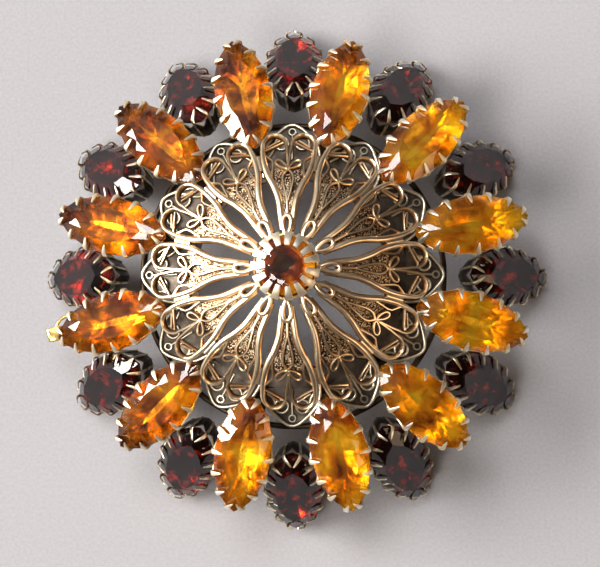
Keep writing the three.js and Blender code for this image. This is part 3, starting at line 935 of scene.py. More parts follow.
@dataclass
class CutStone:
    """A faceted stone with a flat table, star, main and girdle facets, and a foiled back.

    The outline is a function of the share of the way round, so the same cut serves the pointed
    oval and the round. It is cut like a brilliant: the table's corners are at equal shares, with
    the middle points of the crown between them.

    Attributes:
        outline: the girdle's outline.
        crown: the table's height above the middle of the girdle.
        pavilion: the keel's depth below it.
        table: the table's size as a share of the girdle's.
        keel: the keel's length and width as shares of the girdle's.
        girdle: the girdle's height.
        corners: of the table.
        middle_share: size of the ring of middle points, as a share of the girdle's.
        middle_height: their height, as a share of the way from the girdle up to the table.
    """

    outline: Outline
    crown: float
    pavilion: float
    table: float
    keel: tuple[float, float]
    girdle: float = 0.3
    corners: int = 12
    middle_share: float = 0.82
    middle_height: float = 0.52

    def ring(self, share: np.ndarray, scale: float, height: float) -> np.ndarray:
        """A level ring of points at the given shares of the scaled outline."""
        flat = self.outline(share, scale)
        return np.column_stack([flat, np.full(len(flat), height)])

    def points(self) -> np.ndarray:
        """The rings from the table down to the keel, one under the other.

        Returns:
            Array of 7 x corners points, as the girdle's two rings have two points per corner.
        """
        corner = np.arange(self.corners) / self.corners
        every = np.arange(2 * self.corners) / (2 * self.corners)
        half = self.girdle / 2
        middle_height = half + (self.crown - half) * self.middle_height
        return np.vstack(
            [
                self.ring(corner, self.table, self.crown),
                self.ring(corner + 0.5 / self.corners, self.middle_share, middle_height),
                self.ring(every, 1.0, half),
                self.ring(every, 1.0, -half),
                self.ring(corner, 1.0, -self.pavilion) * np.array([*self.keel, 1.0]),
            ]
        )

    def patch(self) -> tuple[Patch, int]:
        """Joins the rings by their facets. The relief is 1 everywhere and 0 at the keel.

        Returns:
            The closed stone, with its crown's and girdle's faces first, and how many those are.
        """
        count = self.corners
        table, middle, upper, lower, keel = np.array([0, 1, 2, 4, 6]) * count
        i = np.arange(count)
        after, before = (i + 1) % count, (i - 1) % count
        even, odd, next_even = 2 * i, 2 * i + 1, (2 * i + 2) % (2 * count)
        n = np.arange(2 * count)
        ahead = (n + 1) % (2 * count)
        crown = [
            (table + i)[None],
            np.stack([table + i, middle + i, table + after], 1),
            np.stack([table + i, middle + before, upper + even], 1),
            np.stack([table + i, upper + even, middle + i], 1),
            np.stack([middle + i, upper + even, upper + odd], 1),
            np.stack([middle + i, upper + odd, upper + next_even], 1),
            np.stack([lower + n, lower + ahead, upper + ahead, upper + n], 1),
        ]
        back = [
            np.stack([keel + i, lower + odd, lower + even], 1),
            np.stack([keel + i, keel + after, lower + odd], 1),
            np.stack([keel + after, lower + next_even, lower + odd], 1),
            (keel + i)[None, ::-1],
        ]
        relief = np.repeat([1.0, 0.0], np.array([6, 1]) * count)
        stone = Patch(self.points(), crown + back, relief)
        return stone, sum(len(block) for block in crown)


def navette_cut(half_length: float, half_width: float) -> Outline:
    """The pointed oval as an outline that can be scaled."""
    return lambda share, scale: navette(half_length, half_width, share) * scale


def round_cut(radius: float) -> Outline:
    """The circle as an outline that can be scaled.

    Args:
        radius: at a scale of 1.

    Returns:
        The outline.
    """
    return lambda share, scale: radius * scale * np.column_stack(
        [np.cos(TURN * share), np.sin(TURN * share)]
    )


def stone_object(
    name: str,
    stone: CutStone,
    place: StonePlace,
    glass: bpy.types.Material,
    foil: bpy.types.Material,
    painted_side_light: float = 0.0,
) -> bpy.types.Object:
    """One closed stone whose crown is glass and whose back is foil.

    Args:
        name: the object's name.
        stone: the cut.
        place: where the stone sits.
        glass: the crown's material.
        foil: the back's material.
        painted_side_light: above 0 for painted light on the foil, below 0 for painted shade.

    Returns:
        The new object.
    """
    whole, crown_faces = stone.patch()
    whole.points = place.put(whole.points)
    piece = make_object(name, [whole.outward()], [glass, foil], None)
    slots = (np.arange(len(piece.data.polygons)) >= crown_faces).astype(np.int32)
    piece.data.polygons.foreach_set("material_index", slots)
    # painted light and shade: one tone shift per stone, read by the foil
    attribute = piece.data.attributes.new("painted_side_light", "FLOAT", "POINT")
    attribute.data.foreach_set("value", np.full(len(piece.data.vertices), painted_side_light, np.float32))
    return piece


def cup_wall(rows: Sequence[tuple[np.ndarray, np.ndarray | float, float]]) -> Patch:
    """Joins level outlines into one closed band of wall, up the outside and down the inside.

    Args:
        rows: for each row its outline, its height as one value or one per point, and its relief.

    Returns:
        The closed band.
    """
    columns = len(rows[0][0])
    points = [
        np.column_stack([outline, np.broadcast_to(height, columns)]) for outline, height, _ in rows
    ]
    relief = np.repeat([[tone] for _, _, tone in rows], columns, axis=1)
    return grid_patch(np.array(points), relief, True)


def scallops(claws: int, columns: int) -> tuple[np.ndarray, np.ndarray]:
    """The scalloped rim: 1 - cos^2 of the way between claws, 0 at each claw and 1 between two.

    Args:
        claws: how many claws the cup has.
        columns: how many points the rim has.

    Returns:
        Each point's share of the way round, and how far the rim dips there.
    """
    share = np.arange(columns) / columns
    return share, 1 - np.cos(math.pi * (share * claws - 0.5)) ** 2


@dataclass
class NavetteSetting:
    """A tapered cup for a navette with a scalloped rim and claws bent over the stone.

    Lengths are in millimetres in the stone's own axes. The wall's outline at a height is the
    rim's outline shrunk evenly towards the foot.

    Attributes:
        half_length: of the stone.
        half_width: of the stone.
        wall: the wall's thickness.
        depth: from the girdle to the foot.
        taper: the foot's size as a share of the rim's.
        claws: how many there are.
        claw_width: half a claw's width at the rim.
        claw_tip_width: half its width at its tip.
        claw_wall: half its thickness.
        rim_drop: of the rim's crests below the girdle.
        scallop: how far the rim dips between claws.
        columns_per_claw: points along the rim for each claw.
        inward: how far a claw is inside the girdle, from its foot to its tip.
        heights: of the same points above the girdle.
    """

    half_length: float = HALF_LENGTH
    half_width: float = HALF_WIDTH
    wall: float = 0.24
    depth: float = 3.55
    taper: float = 0.73
    claws: int = 14
    claw_width: float = 0.31
    claw_tip_width: float = 0.06
    claw_wall: float = 0.11
    rim_drop: float = 0.15
    scallop: float = 0.85
    columns_per_claw: int = 6
    inward: tuple[float, ...] = (-0.26, -0.3, -0.31, -0.3, -0.1, 0.34, 0.7, 0.96)
    heights: tuple[float, ...] = (-3.35, -1.9, -0.5, 0.2, 0.58, 0.82, 1.12, 1.24)

    def shrink(self, height: np.ndarray) -> np.ndarray:
        """How much smaller the outline is at a height: 1 down to the taper at the foot."""
        return 1 - (1 - self.taper) * np.clip(-height / self.depth, 0, 1)

    def cup(self) -> Patch:
        """The wall, as one band: up its outside, over the scalloped rim and down its inside.

        Returns:
            The closed wall.
        """
        share, dip = scallops(self.claws, self.claws * self.columns_per_claw)
        rim = -self.rim_drop - self.scallop * dip
        foot, waist = -self.depth, -self.depth / 2
        clearance, foot_chamfer, lip = 0.03, 0.985, 0.06
        outer = navette(self.half_length + self.wall, self.half_width + self.wall, share)
        inner = navette(self.half_length + clearance, self.half_width + clearance, share)
        rows = (
            (outer * foot_chamfer, foot, 0.2),
            (outer, foot + 0.12, 0.75),
            (outer, waist - 0.2, 0.45),
            (outer, rim - 0.35, 0.5),
            (outer, rim - lip, 0.85),
            ((outer + inner) / 2, rim, 0.95),
            (inner, rim - lip, 0.6),
            (inner, waist, 0.15),
            (inner, foot, 0.1),
        )
        return cup_wall(
            [
                (outline * self.shrink(np.full(len(share), height))[:, None], height, tone)
                for outline, height, tone in rows
            ]
        )

    def claw_patches(self, rng: np.random.Generator) -> list[Patch]:
        """The claws, each a flattened tapering wire up the wall and bent in over the crown.

        Args:
            rng: gives each claw its own small differences in reach and lean.

        Returns:
            One closed patch per claw.
        """
        inward = np.array(self.inward)
        heights = np.array(self.heights)
        widths = np.interp(
            np.arange(len(inward)),
            [0, 3, 4, len(inward) - 1],
            [self.claw_width * 0.7, self.claw_width, self.claw_width, self.claw_tip_width],
        )
        walls = np.interp(
            np.arange(len(inward)), [0, 4, len(inward) - 1], [0.1, self.claw_wall, 0.07]
        )
        patches = []
        for number in range(self.claws):
            share = (number + 0.5 + rng.uniform(-0.05, 0.05)) / self.claws
            base = navette(self.half_length, self.half_width, np.array([share]))[0]
            out = navette_outward(self.half_length, self.half_width, np.array([share]))[0]
            reach = np.where(inward > 0, inward * rng.uniform(0.86, 1.1), inward)
            lift = np.where(inward > 0, rng.uniform(-0.02, 0.1), 0)
            lean = rng.uniform(-0.16, 0.16) * np.clip(inward, 0, None)
            side = np.array([-out[1], out[0]])
            flat = base[None] * self.shrink(heights)[:, None] - out[None] * reach[:, None]
            flat = flat + side[None] * lean[:, None]
            path = np.column_stack([flat, heights + lift])
            along = np.gradient(path, axis=0)
            across = np.broadcast_to(np.append(side, 0.0), path.shape)
            normals = unit(np.cross(unit(along), across))
            patches.append(wire(path, normals, widths, walls, 8, False, 1, 0.5))
        return patches


@dataclass
class StoneRing:
    """A ring of navettes in their settings.

    Attributes:
        name: of the ring, as its CAD nodes have it.
        stone: the cut of its stones.
        setting: the setting of its stones.
        glass: the stones' glass.
        foil: the stones' foil.
        cup: the settings' metal.
        claw: the claws' metal.
        stone_slot: the stones' slot.
        setting_slot: the settings' slot.
        seed: of the claws' small differences.
        side_light_amount: how strongly painted light and shade shift the foils' tone.
        shaded_side_degrees: where the side with the painted shade is.
    """

    name: str
    stone: CutStone
    setting: NavetteSetting
    glass: bpy.types.Material
    foil: bpy.types.Material
    cup: bpy.types.Material
    claw: bpy.types.Material
    stone_slot: Slot
    setting_slot: Slot
    seed: int
    side_light_amount: float = 0.0
    shaded_side_degrees: float = 160.0

    def painted_side_light(self, place: StonePlace) -> float:
        """The painted light and shade on a stone's foil: the set amount times minus the cosine of
        its angle from the side with the painted shade.

        Args:
            place: where the stone sits.

        Returns:
            Above 0 for painted light on the foil, below 0 for painted shade.
        """
        angle = math.atan2(place.middle[1], place.middle[0]) - math.radians(self.shaded_side_degrees)
        return -self.side_light_amount * math.cos(angle)

    def build(self) -> None:
        """Builds every stone and setting of the ring in its CAD place."""
        rng = np.random.default_rng(self.seed)
        for number in range(1, RING_COUNT + 1):
            label = f"{number:02d}"
            stone_node = f"{self.name}_stone_{label}"
            place = StonePlace.of_node(stone_node)
            stone = stone_object(
                f"{self.name}_navette_{label}",
                self.stone,
                place,
                self.glass,
                self.foil,
                self.painted_side_light(place),
            )
            settle(stone, Body.BROOCH, self.stone_slot, stone_node)
            patches = [self.setting.cup(), *self.setting.claw_patches(rng)]
            for patch in patches:
                patch.points = place.put(patch.points)
                patch.points[:, 2] = np.maximum(patch.points[:, 2], 0.0)
                patch.outward()
            cup = make_object(f"{self.name}_cup_{label}", patches, [self.cup, self.claw], 40.0)
            settle(cup, Body.BROOCH, self.setting_slot, f"{self.name}_setting_{label}")


@dataclass
class CentreStone:
    """The round stone on top of the dome, in a deep cup with broad claws."""

    finishes: Finishes
    radius: float = 3.5
    crown: float = 0.9
    table: float = 0.52
    keel: float = 0.12
    claws: int = 15
    claw_width: float = 0.54
    claw_tip_width: float = 0.3
    claw_wall: float = 0.12
    foot_radius: float = 2.6
    wall: float = 0.4
    bore: float = 0.85
    rim_drop: float = 0.1
    scallop: float = 0.7
    columns_per_claw: int = 6
    seed: int = 41

    def build(self) -> None:
        """Builds the stone and its setting."""
        low, high = box_mm("chaton_stone")
        seat = box_mm("chaton_setting")[0][2]
        girdle = high[2] - self.crown
        place = StonePlace(np.array([*((low + high) / 2)[:2], girdle]), np.eye(3))
        keel = (self.keel, self.keel)
        cut = CutStone(round_cut(self.radius), self.crown, girdle - low[2], self.table, keel)
        stone = stone_object(
            "centre_round", cut, place, self.finishes.amber, self.finishes.amber_foil
        )
        settle(stone, Body.BROOCH, Slot.TOPAZ, "chaton_stone")
        patches = [self.cup(seat, girdle), *self.claw_patches(seat, girdle)]
        metals = [self.finishes.antiqued, self.finishes.claws]
        settle(
            make_object("centre_cup", patches, metals, 40.0),
            Body.BROOCH,
            Slot.PRONG_GOLD,
            "chaton_setting",
        )

    def cup(self, seat: float, girdle: float) -> Patch:
        """The round wall, up its outside, over the scalloped rim, down its inside to the floor.

        Args:
            seat: height of its foot.
            girdle: height of the stone's girdle.

        Returns:
            The closed wall.
        """
        share, dip = scallops(self.claws, self.claws * self.columns_per_claw)
        rim = girdle - self.rim_drop - self.scallop * dip
        ring = round_cut(1.0)(share, 1.0)
        rim_radius, foot = self.radius + self.wall, self.foot_radius
        floor, lip = seat + 0.5, 0.06
        rows = (
            (foot * 0.97, seat, 0.1),
            (foot, seat + 0.1, 0.5),
            (foot + (rim_radius - foot) * 0.55, seat + (girdle - seat) * 0.45, 0.45),
            (rim_radius, rim - 0.3, 0.6),
            (rim_radius, rim - lip, 0.85),
            (rim_radius - self.wall / 2, rim, 0.95),
            (self.radius + 0.03, rim - lip, 0.5),
            (foot - self.wall + 0.5, seat + 0.9, 0.1),
            (self.bore + 0.55, floor, 0.1),
            (self.bore, floor, 0.1),
            (self.bore, seat, 0.1),
        )
        return cup_wall([(ring * radius, height, tone) for radius, height, tone in rows])

    def claw_patches(self, seat: float, girdle: float) -> list[Patch]:
        """The claws, broad flat strips up the wall and over the crown's edge.

        Args:
            seat: height of the cup's foot.
            girdle: height of the stone's girdle.

        Returns:
            One closed patch per claw.
        """
        face = self.radius + self.wall + 0.04
        radii = np.array([3.0, 3.6, face, face + 0.01, 3.62, 3.05, 2.4])
        rises = np.array([0.08, 0.42, 0.82, 1.03, 1.13, 1.24, 1.31])
        heights = seat + (girdle - seat) * rises
        widths = np.interp(np.arange(7), [0, 3, 6], [0.32, self.claw_width, self.claw_tip_width])
        rng = np.random.default_rng(self.seed)
        patches = []
        for number in range(self.claws):
            angle = (number + 0.5 + rng.uniform(-0.06, 0.06)) / self.claws * TURN
            out = np.array([math.cos(angle), math.sin(angle)])
            reach = radii - np.clip(3.6 - radii, 0, None) * rng.uniform(-0.1, 0.08)
            path = np.column_stack([reach[:, None] * out, heights])
            side = np.broadcast_to([-out[1], out[0], 0.0], path.shape)
            normals = unit(np.cross(unit(np.gradient(path, axis=0)), side))
            patches.append(wire(path, normals, widths, self.claw_wall, 8, False, 1, 0.35))
        return patches


# ---------------------------------------------------------------- filigree


def turned_about_z(flat: np.ndarray, angle: float) -> np.ndarray:
    """Turns flat points round the origin: (x cos - y sin, x sin + y cos).

    Args:
        flat: (x, y) points.
        angle: in radians, anticlockwise.

    Returns:
        The turned points.
    """
    c, s = math.cos(angle), math.sin(angle)
    return flat @ np.array([[c, s], [-s, c]])


@dataclass
class DomeSurface:
    """The dome's ball: a point's height is top - R + sqrt(R^2 - r^2)."""

    top: float
    sphere: float = 24.38

    def __call__(self, flat: np.ndarray, lift: np.ndarray) -> tuple[np.ndarray, np.ndarray]:
        """Lays flat points on the dome, raised along its normal.

        Args:
            flat: the points seen from above.
            lift: how far each is raised.

        Returns:
            The points and the normals there.
        """
        height = np.sqrt(np.maximum(self.sphere**2 - (flat**2).sum(-1), 1.0))
        from_centre = np.concatenate([flat, height[..., None]], -1)
        normals = from_centre / self.sphere
        centre = np.array([0.0, 0.0, self.top - self.sphere])
        return centre + from_centre + normals * lift[..., None], normals


@dataclass
class ConeSurface:
    """The flat cone under the upper settings: its height falls evenly from its inner edge."""

    inner: float
    top: float
    tilt: float = UPPER_TILT

    def __call__(self, flat: np.ndarray, lift: np.ndarray) -> tuple[np.ndarray, np.ndarray]:
        """Lays flat points on the cone, raised along its normal.

        Args:
            flat: the points seen from above.
            lift: how far each is raised.

        Returns:
            The points and the normals there.
        """
        radius = np.linalg.norm(flat, axis=-1)
        slope = math.tan(self.tilt)
        height = self.top - (radius - self.inner) * slope
        outward = flat / np.maximum(radius, 1e-9)[..., None]
        normals = unit(np.concatenate([outward * slope, np.ones(radius.shape + (1,))], -1))
        points = np.concatenate([flat, height[..., None]], -1)
        return points + normals * lift[..., None], normals


@dataclass
class Filigree:
    """Draws petals of wires and thin plates on a surface and repeats them round the axis.

    A petal is drawn flat, out from the axis along u and across along v.

    Attributes:
        surface: what the petals are laid on.
        count: of petals.
        wires: the wires drawn so far.
        plates: the plates laid so far.
    """

    surface: Surface
    count: int = RING_COUNT
    wires: list[Patch] = field(default_factory=list)
    plates: list[Patch] = field(default_factory=list)

    def angles(self) -> np.ndarray:
        """The petals' angles."""
        return np.arange(self.count) * TURN / self.count

    def draw(
        self,
        points: Sequence[Sequence[float]],
        steps: int,
        half_width: float | np.ndarray,
        half_height: float = 0.3,
        lift: float = 0.05,
        closed: bool = False,
        mirrored: bool = False,
        curved: bool = True,
        sides: int = 8,
        fullness: float = 1.0,
    ) -> None:
        """Draws one wire in each petal, and its mirror image if asked.

        Args:
            points: the wire's middle line as (u, v) points.
            steps: how many points the laid wire has.
            half_width: half its width, one value or one per given step.
            half_height: half its height.
            lift: of its middle above the surface.
            closed: True for a loop.
            mirrored: True to draw it on both sides of the petal.
            curved: False where the points are close enough to be used as they are.
            sides: points round the wire.
            fullness: of its section, 1 for an ellipse.
        """
        flat = smooth_path(points, steps, closed) if curved else np.asarray(points, float)
        images = [flat, flat * np.array([1.0, -1.0])] if mirrored else [flat]
        for image in images:
            for angle in self.angles():
                turned = turned_about_z(image, angle)
                path, normals = self.surface(turned, np.full(len(image), lift))
                self.wires.append(
                    wire(path, normals, half_width, half_height, sides, closed, 0, fullness)
                )

    def plate(
        self,
        edge: Callable[[np.ndarray, np.ndarray], np.ndarray],
        rows: int,
        columns: int,
        low: float,
        high: float,
        relief: float = 0.4,
    ) -> None:
        """Lays a thin plate in each petal: a grid on the surface at two lifts, sewn at its edge.

        Args:
            edge: gives (u, v) for shares along and across, each from 0 to 1.
            rows: grid points along.
            columns: grid points across.
            low: lift of the underside.
            high: lift of the face.
            relief: the face's relief value.
        """
        shares = np.linspace(0, 1, rows), np.linspace(0, 1, columns)
        flat = edge(*np.meshgrid(*shares, indexing="ij"))
        for angle in self.angles():
            turned = turned_about_z(flat.reshape(-1, 2), angle).reshape(rows, columns, 2)
            face, _ = self.surface(turned, np.full((rows, columns), high))
            under, _ = self.surface(turned, np.full((rows, columns), low))
            band = np.concatenate([face, under[:, ::-1]], axis=1)
            tones = np.concatenate(
                [np.full((rows, columns), relief), np.full((rows, columns), 0.1)], axis=1
            )
            self.plates.append(grid_patch(band, tones))


def arc_points(
    centre: tuple[float, float], radius: float, start: float, end: float, steps: int
) -> np.ndarray:
    """Points on an arc: the centre plus (r cos q, r sin q).

    Args:
        centre: of the arc.
        radius: r.
        start: its first angle q, in degrees.
        end: its last angle.
        steps: how many points.

    Returns:
        Array of steps x 2.
    """
    angle = np.radians(np.linspace(start, end, steps))
    return np.column_stack([centre[0] + radius * np.cos(angle), centre[1] + radius * np.sin(angle)])


def oval_points(
    centre: tuple[float, float], half_length: float, half_width: float, turn: float, steps: int
) -> np.ndarray:
    """Points on an oval pinched like a leaf: (a cos q, b sin q (0.72 + 0.28 cos q)), turned.

    Args:
        centre: the oval's middle.
        half_length: a.
        half_width: b at the middle.
        turn: how far it is turned, in degrees.
        steps: how many points.

    Returns:
        Array of steps x 2.
    """
    angle = np.arange(steps) * TURN / steps
    pinch = 0.72 + 0.28 * np.cos(angle)
    flat = np.column_stack([half_length * np.cos(angle), half_width * np.sin(angle) * pinch])
    return turned_about_z(flat, math.radians(turn)) + np.array(centre)


@dataclass
class FiligreeDome:
    """The pierced dome of twelve petals.

    Each petal has two thick ribs that run out along the open slots and curl into scroll loops at
    the rim, a stippled ground with an almond on a stem, a bow of two leaves, and a raised teardrop
    at its inner end.

    Attributes:
        finishes: the brooch's finishes.
        rib_line: (u, v) points on the middle of a rib.
        loop_centre: (u, v) of a scroll loop's middle.
        loop_radius: of the middle of its wire.
        rib_half_width: half a rib's width.
        scroll_half_width: half the width of a loop's wire.
        ground_reach: where the stippled ground starts and ends along the petal.
    """

    finishes: Finishes
    rib_line: tuple[tuple[float, float], ...] = (
        (4.5, 0.6),
        (5.8, 0.72),
        (7.0, 0.84),
        (8.4, 1.08),
        (9.9, 1.66),
        (11.3, 2.42),
        (12.9, 2.95),
        (14.2, 3.15),
    )
    loop_centre: tuple[float, float] = (15.05, 1.74)
    loop_radius: float = 1.44
    rib_half_width: float = 0.44
    scroll_half_width: float = 0.23
    ground_reach: tuple[float, float] = (5.7, 12.5)

    def build(self) -> None:
        """Builds the wires and the stippled grounds."""
        top = box_mm("dome_filigree")[1][2] + 0.05
        art = Filigree(DomeSurface(top))
        self.ribs(art)
        self.inner_work(art)
        grounds = Filigree(DomeSurface(top))
        grounds.plate(self.ground_edge, 14, 7, -0.42, -0.12)
        wires = make_object("dome_wires", art.wires, [self.finishes.antiqued], 60.0)
        settle(wires, Body.BROOCH, Slot.ANTIQUED_GOLD, "dome_filigree")
        ground = make_object("dome_grounds", grounds.plates, [self.finishes.stippled], 40.0)
        settle(ground, Body.BROOCH, Slot.ANTIQUED_GOLD)

    def rib_spread(self, u: np.ndarray) -> np.ndarray:
        """How far the rib's middle is from the petal's middle line at a distance out."""
        line = smooth_path(self.rib_line, 40)
        return np.interp(u, line[:, 0], line[:, 1])

    def ground_edge(self, along: np.ndarray, across: np.ndarray) -> np.ndarray:
        """The ground: from near the teardrop to the bow, between the two ribs. Its far end is
        rounded: at a share s of the way from the middle to a rib it is nearer by 0.5 s^1.5.

        Args:
            along: shares along the petal.
            across: shares across it.

        Returns:
            The (u, v) points.
        """
        side = 2 * across - 1
        start, middle_end = self.ground_reach
        end = middle_end - 0.5 * np.abs(side) ** 1.5
        u = start + (end - start) * along
        return np.stack([u, side * self.rib_spread(u)], -1)

    def ribs(self, art: Filigree) -> None:
        """The ribs with their scroll loops, and the band that joins neighbours past the slots.

        Args:
            art: the drawing to add them to.
        """
        rib = smooth_path(self.rib_line, 22)
        loop = arc_points(self.loop_centre, self.loop_radius, 100, -95, 20)
        tail = smooth_path([loop[-1], (14.1, 0.17), (13.3, 0.1), (12.5, 0.05)], 7)[1:]
        line = np.vstack([rib, loop, tail])
        widths = np.interp(
            np.arange(len(line)),
            [0, 5, 17, 24, 30, len(line) - 1],
            [0.3, self.rib_half_width, self.rib_half_width, 0.28, self.scroll_half_width, 0.15],
        )
        art.draw(line, 0, widths, 0.44, 0.02, mirrored=True, curved=False, fullness=0.95)
        art.draw([(11.75, 3.15), (12.6, 3.38), (13.6, 3.64)], 6, 0.36, 0.34, 0.0, fullness=0.75)
        for shift in (0.0, 0.42):
            bar = [(14.35 + shift, 2.85 - shift * 0.6), (15.45 + shift * 0.6, 0.75 + shift)]
            art.draw(bar, 5, 0.13, 0.26, 0.05, mirrored=True)
        bracket = [(13.75, 2.85), (13.05, 1.95), (12.55, 1.82), (11.0, 1.9)]
        art.draw(bracket, 0, 0.15, 0.3, 0.06, mirrored=True, curved=False)

    def inner_work(self, art: Filigree) -> None:
        """The teardrop, the stem with its almond, and the bow.

        Args:
            art: the drawing to add them to.
        """
        drop = oval_points((5.0, 0.0), 1.14, 0.66, 0, 22)
        art.draw(drop, 0, 0.34, 0.5, 0.34, closed=True, curved=False)
        art.draw([(6.1, 0.0), (7.2, 0.0), (8.3, 0.0)], 6, 0.19, 0.3, 0.1)
        almond = [(8.1, 0.06), (9.3, 0.36), (10.5, 0.62), (11.3, 0.52), (11.9, 0.02)]
        art.draw(almond, 14, 0.16, 0.3, 0.14, mirrored=True)
        leaf = oval_points((12.5, 0.8), 0.8, 0.46, 55, 16)
        art.draw(leaf, 0, 0.15, 0.3, 0.16, closed=True, mirrored=True, curved=False)
        art.draw([(11.8, 0.0), (12.5, 0.0), (13.3, 0.0)], 5, 0.18, 0.3, 0.1)


@dataclass
class BaseLace:
    """The second, darker stamping between the dome and the frame: a band of twelve pointed petals
    with scrolls, whose tips show between the bright stones.

    Attributes:
        finishes: the brooch's finishes.
        arch: (u, v) points on one side of the petal's outline, from its foot to its tip.
        band: the inner band's smallest and largest radius.
        petal_reach: where the petal's ground starts and ends.
    """

    finishes: Finishes
    arch: tuple[tuple[float, float], ...] = (
        (12.0, 3.0),
        (14.0, 3.45),
        (16.0, 3.2),
        (17.7, 1.75),
        (18.75, 0.0),
    )
    band: tuple[float, float] = (11.8, 14.2)
    petal_reach: tuple[float, float] = (14.1, 18.45)

    def build(self) -> None:
        """Builds the lace on the cone that the upper settings stand on."""
        high = box_mm("base_filigree")[1]
        cone = ConeSurface(11.6, high[2] - 0.35)
        art = Filigree(cone)
        art.draw(self.arch_line(), 34, 0.24, 0.3, 0.0)
        scroll = arc_points((16.3, 1.3), 0.82, 0, 340, 16)
        art.draw(scroll, 0, 0.17, 0.26, 0.04, closed=True, mirrored=True, curved=False)
        tip = arc_points((17.75, 0.0), 0.42, 0, 330, 10)
        art.draw(tip, 0, 0.15, 0.26, 0.04, closed=True, curved=False)
        art.draw([(14.2, 0.0), (15.6, 0.0), (17.3, 0.0)], 6, 0.17, 0.26, 0.02)
        art.draw([(14.4, 2.9), (15.4, 2.3), (16.2, 2.15)], 8, 0.16, 0.26, 0.02, mirrored=True)
        art.plate(self.band_edge, 5, 9, -0.3, -0.05, 0.3)
        art.plate(self.petal_edge, 9, 9, -0.3, -0.12, 0.36)
        lace = make_object("base_lace", art.wires + art.plates, [self.finishes.lace], 60.0)
        settle(lace, Body.BROOCH, Slot.DARKENED_BRASS, "base_filigree")

    def arch_line(self) -> list[tuple[float, float]]:
        """The petal's outline from one foot over its tip to the other foot."""
        left = [(u, -v) for u, v in self.arch]
        return left + [(u, v) for u, v in reversed(self.arch[:-1])]

    def petal_edge(self, along: np.ndarray, across: np.ndarray) -> np.ndarray:
        """The petal's ground, from the band to its tip within the outline.

        Args:
            along: shares along the petal.
            across: shares across it.

        Returns:
            The (u, v) points.
        """
        line = smooth_path(self.arch, 30)
        start, end = self.petal_reach
        u = start + (end - start) * along
        spread = np.interp(u, line[:, 0], line[:, 1]) - 0.08
        return np.stack([u, (2 * across - 1) * spread], -1)

    def band_edge(self, along: np.ndarray, across: np.ndarray) -> np.ndarray:
        """One twelfth of the inner band, as rings cut at the petal's two edges.

        Args:
            along: shares out from the axis.
            across: shares round it.

        Returns:
            The (u, v) points.
        """
        angle = (2 * across - 1) * math.radians(14.9)
        inner, outer = self.band
        radius = inner + (outer - inner) * along
        return np.stack([radius * np.cos(angle), radius * np.sin(angle)], -1)


# ---------------------------------------------------------------- back


@dataclass
class BackFrame:
    """The star that carries the settings: an inner ring, twelve arms and an outer hoop.

    The ring and the arms lie along the cone under the upper settings.
    """

    finishes: Finishes
    ring_inner: float = 12.05
    ring_outer: float = 15.35
    hoop_inner: float = 18.45
    hoop_outer: float = 19.2
    hoop_height: float = 1.32
    hoop_above_foot: float = 0.7
    arm_width: float = 2.1
    first_arm_degrees: float = 15.0
    wall: float = 0.85

    def build(self) -> None:
        """Builds the frame as one piece."""
        low, high = box_mm("back_frame")
        top = high[2] - 0.03
        middle = (self.ring_inner + self.ring_outer) / 2
        width = (self.ring_outer - self.ring_inner) / math.cos(UPPER_TILT)
        section = rounded_box(width, self.wall, 0.3)
        turned = turned_about_z(section, -UPPER_TILT)
        # painted shade: the ring's top face gets a darker tone than its underside so that it reads
        # as shadow
        tone = np.where(section[:, 1] > 0, 0.3, 0.6)
        patches = [revolve(turned + np.array([middle, top - self.drop(middle)]), 96, tone)]
        hoop_middle = (self.hoop_inner + self.hoop_outer) / 2
        hoop = rounded_box(self.hoop_outer - self.hoop_inner, self.hoop_height, 0.35)
        hoop = hoop + np.array([hoop_middle, low[2] + self.hoop_above_foot])
        patches.append(revolve(hoop, 120, 0.6))
        along = np.linspace(middle, hoop_middle, 8)
        first = math.radians(self.first_arm_degrees)
        for angle in first + np.arange(RING_COUNT) * TURN / RING_COUNT:
            patches.append(self.arm(along, top - self.drop(along), angle))
        # painted shade: the frame is coloured dark so that it reads as shadow
        piece = make_object("star_frame", patches, [self.finishes.shade_darkened], 40.0)
        settle(piece, Body.BROOCH, Slot.DARKENED_BRASS, "back_frame")

    def drop(self, radius: float | np.ndarray) -> float | np.ndarray:
        """How far the middle of the metal is below the ring's top: (r - inner) tan t + wall / 2."""
        return (radius - self.ring_inner) * math.tan(UPPER_TILT) + self.wall / 2

    def arm(self, along: np.ndarray, heights: np.ndarray, angle: float) -> Patch:
        """One arm, a flat bar with round edges.

        Args:
            along: radii on its middle line.
            heights: of the same points.
            angle: the arm's angle in radians.

        Returns:
            The closed bar.
        """
        out = np.array([math.cos(angle), math.sin(angle)])
        path = np.column_stack([along[:, None] * out, heights])
        normal = np.array([*(math.sin(UPPER_TILT) * out), math.cos(UPPER_TILT)])
        across = np.cross(normal, unit(np.gradient(path, axis=0)))
        strip = rounded_box(self.arm_width, self.wall * 0.9, 0.25)
        points = path[:, None] + across[:, None] * strip[None, :, :1] + normal * strip[None, :, 1:]
        return grid_patch(points, 0.5)


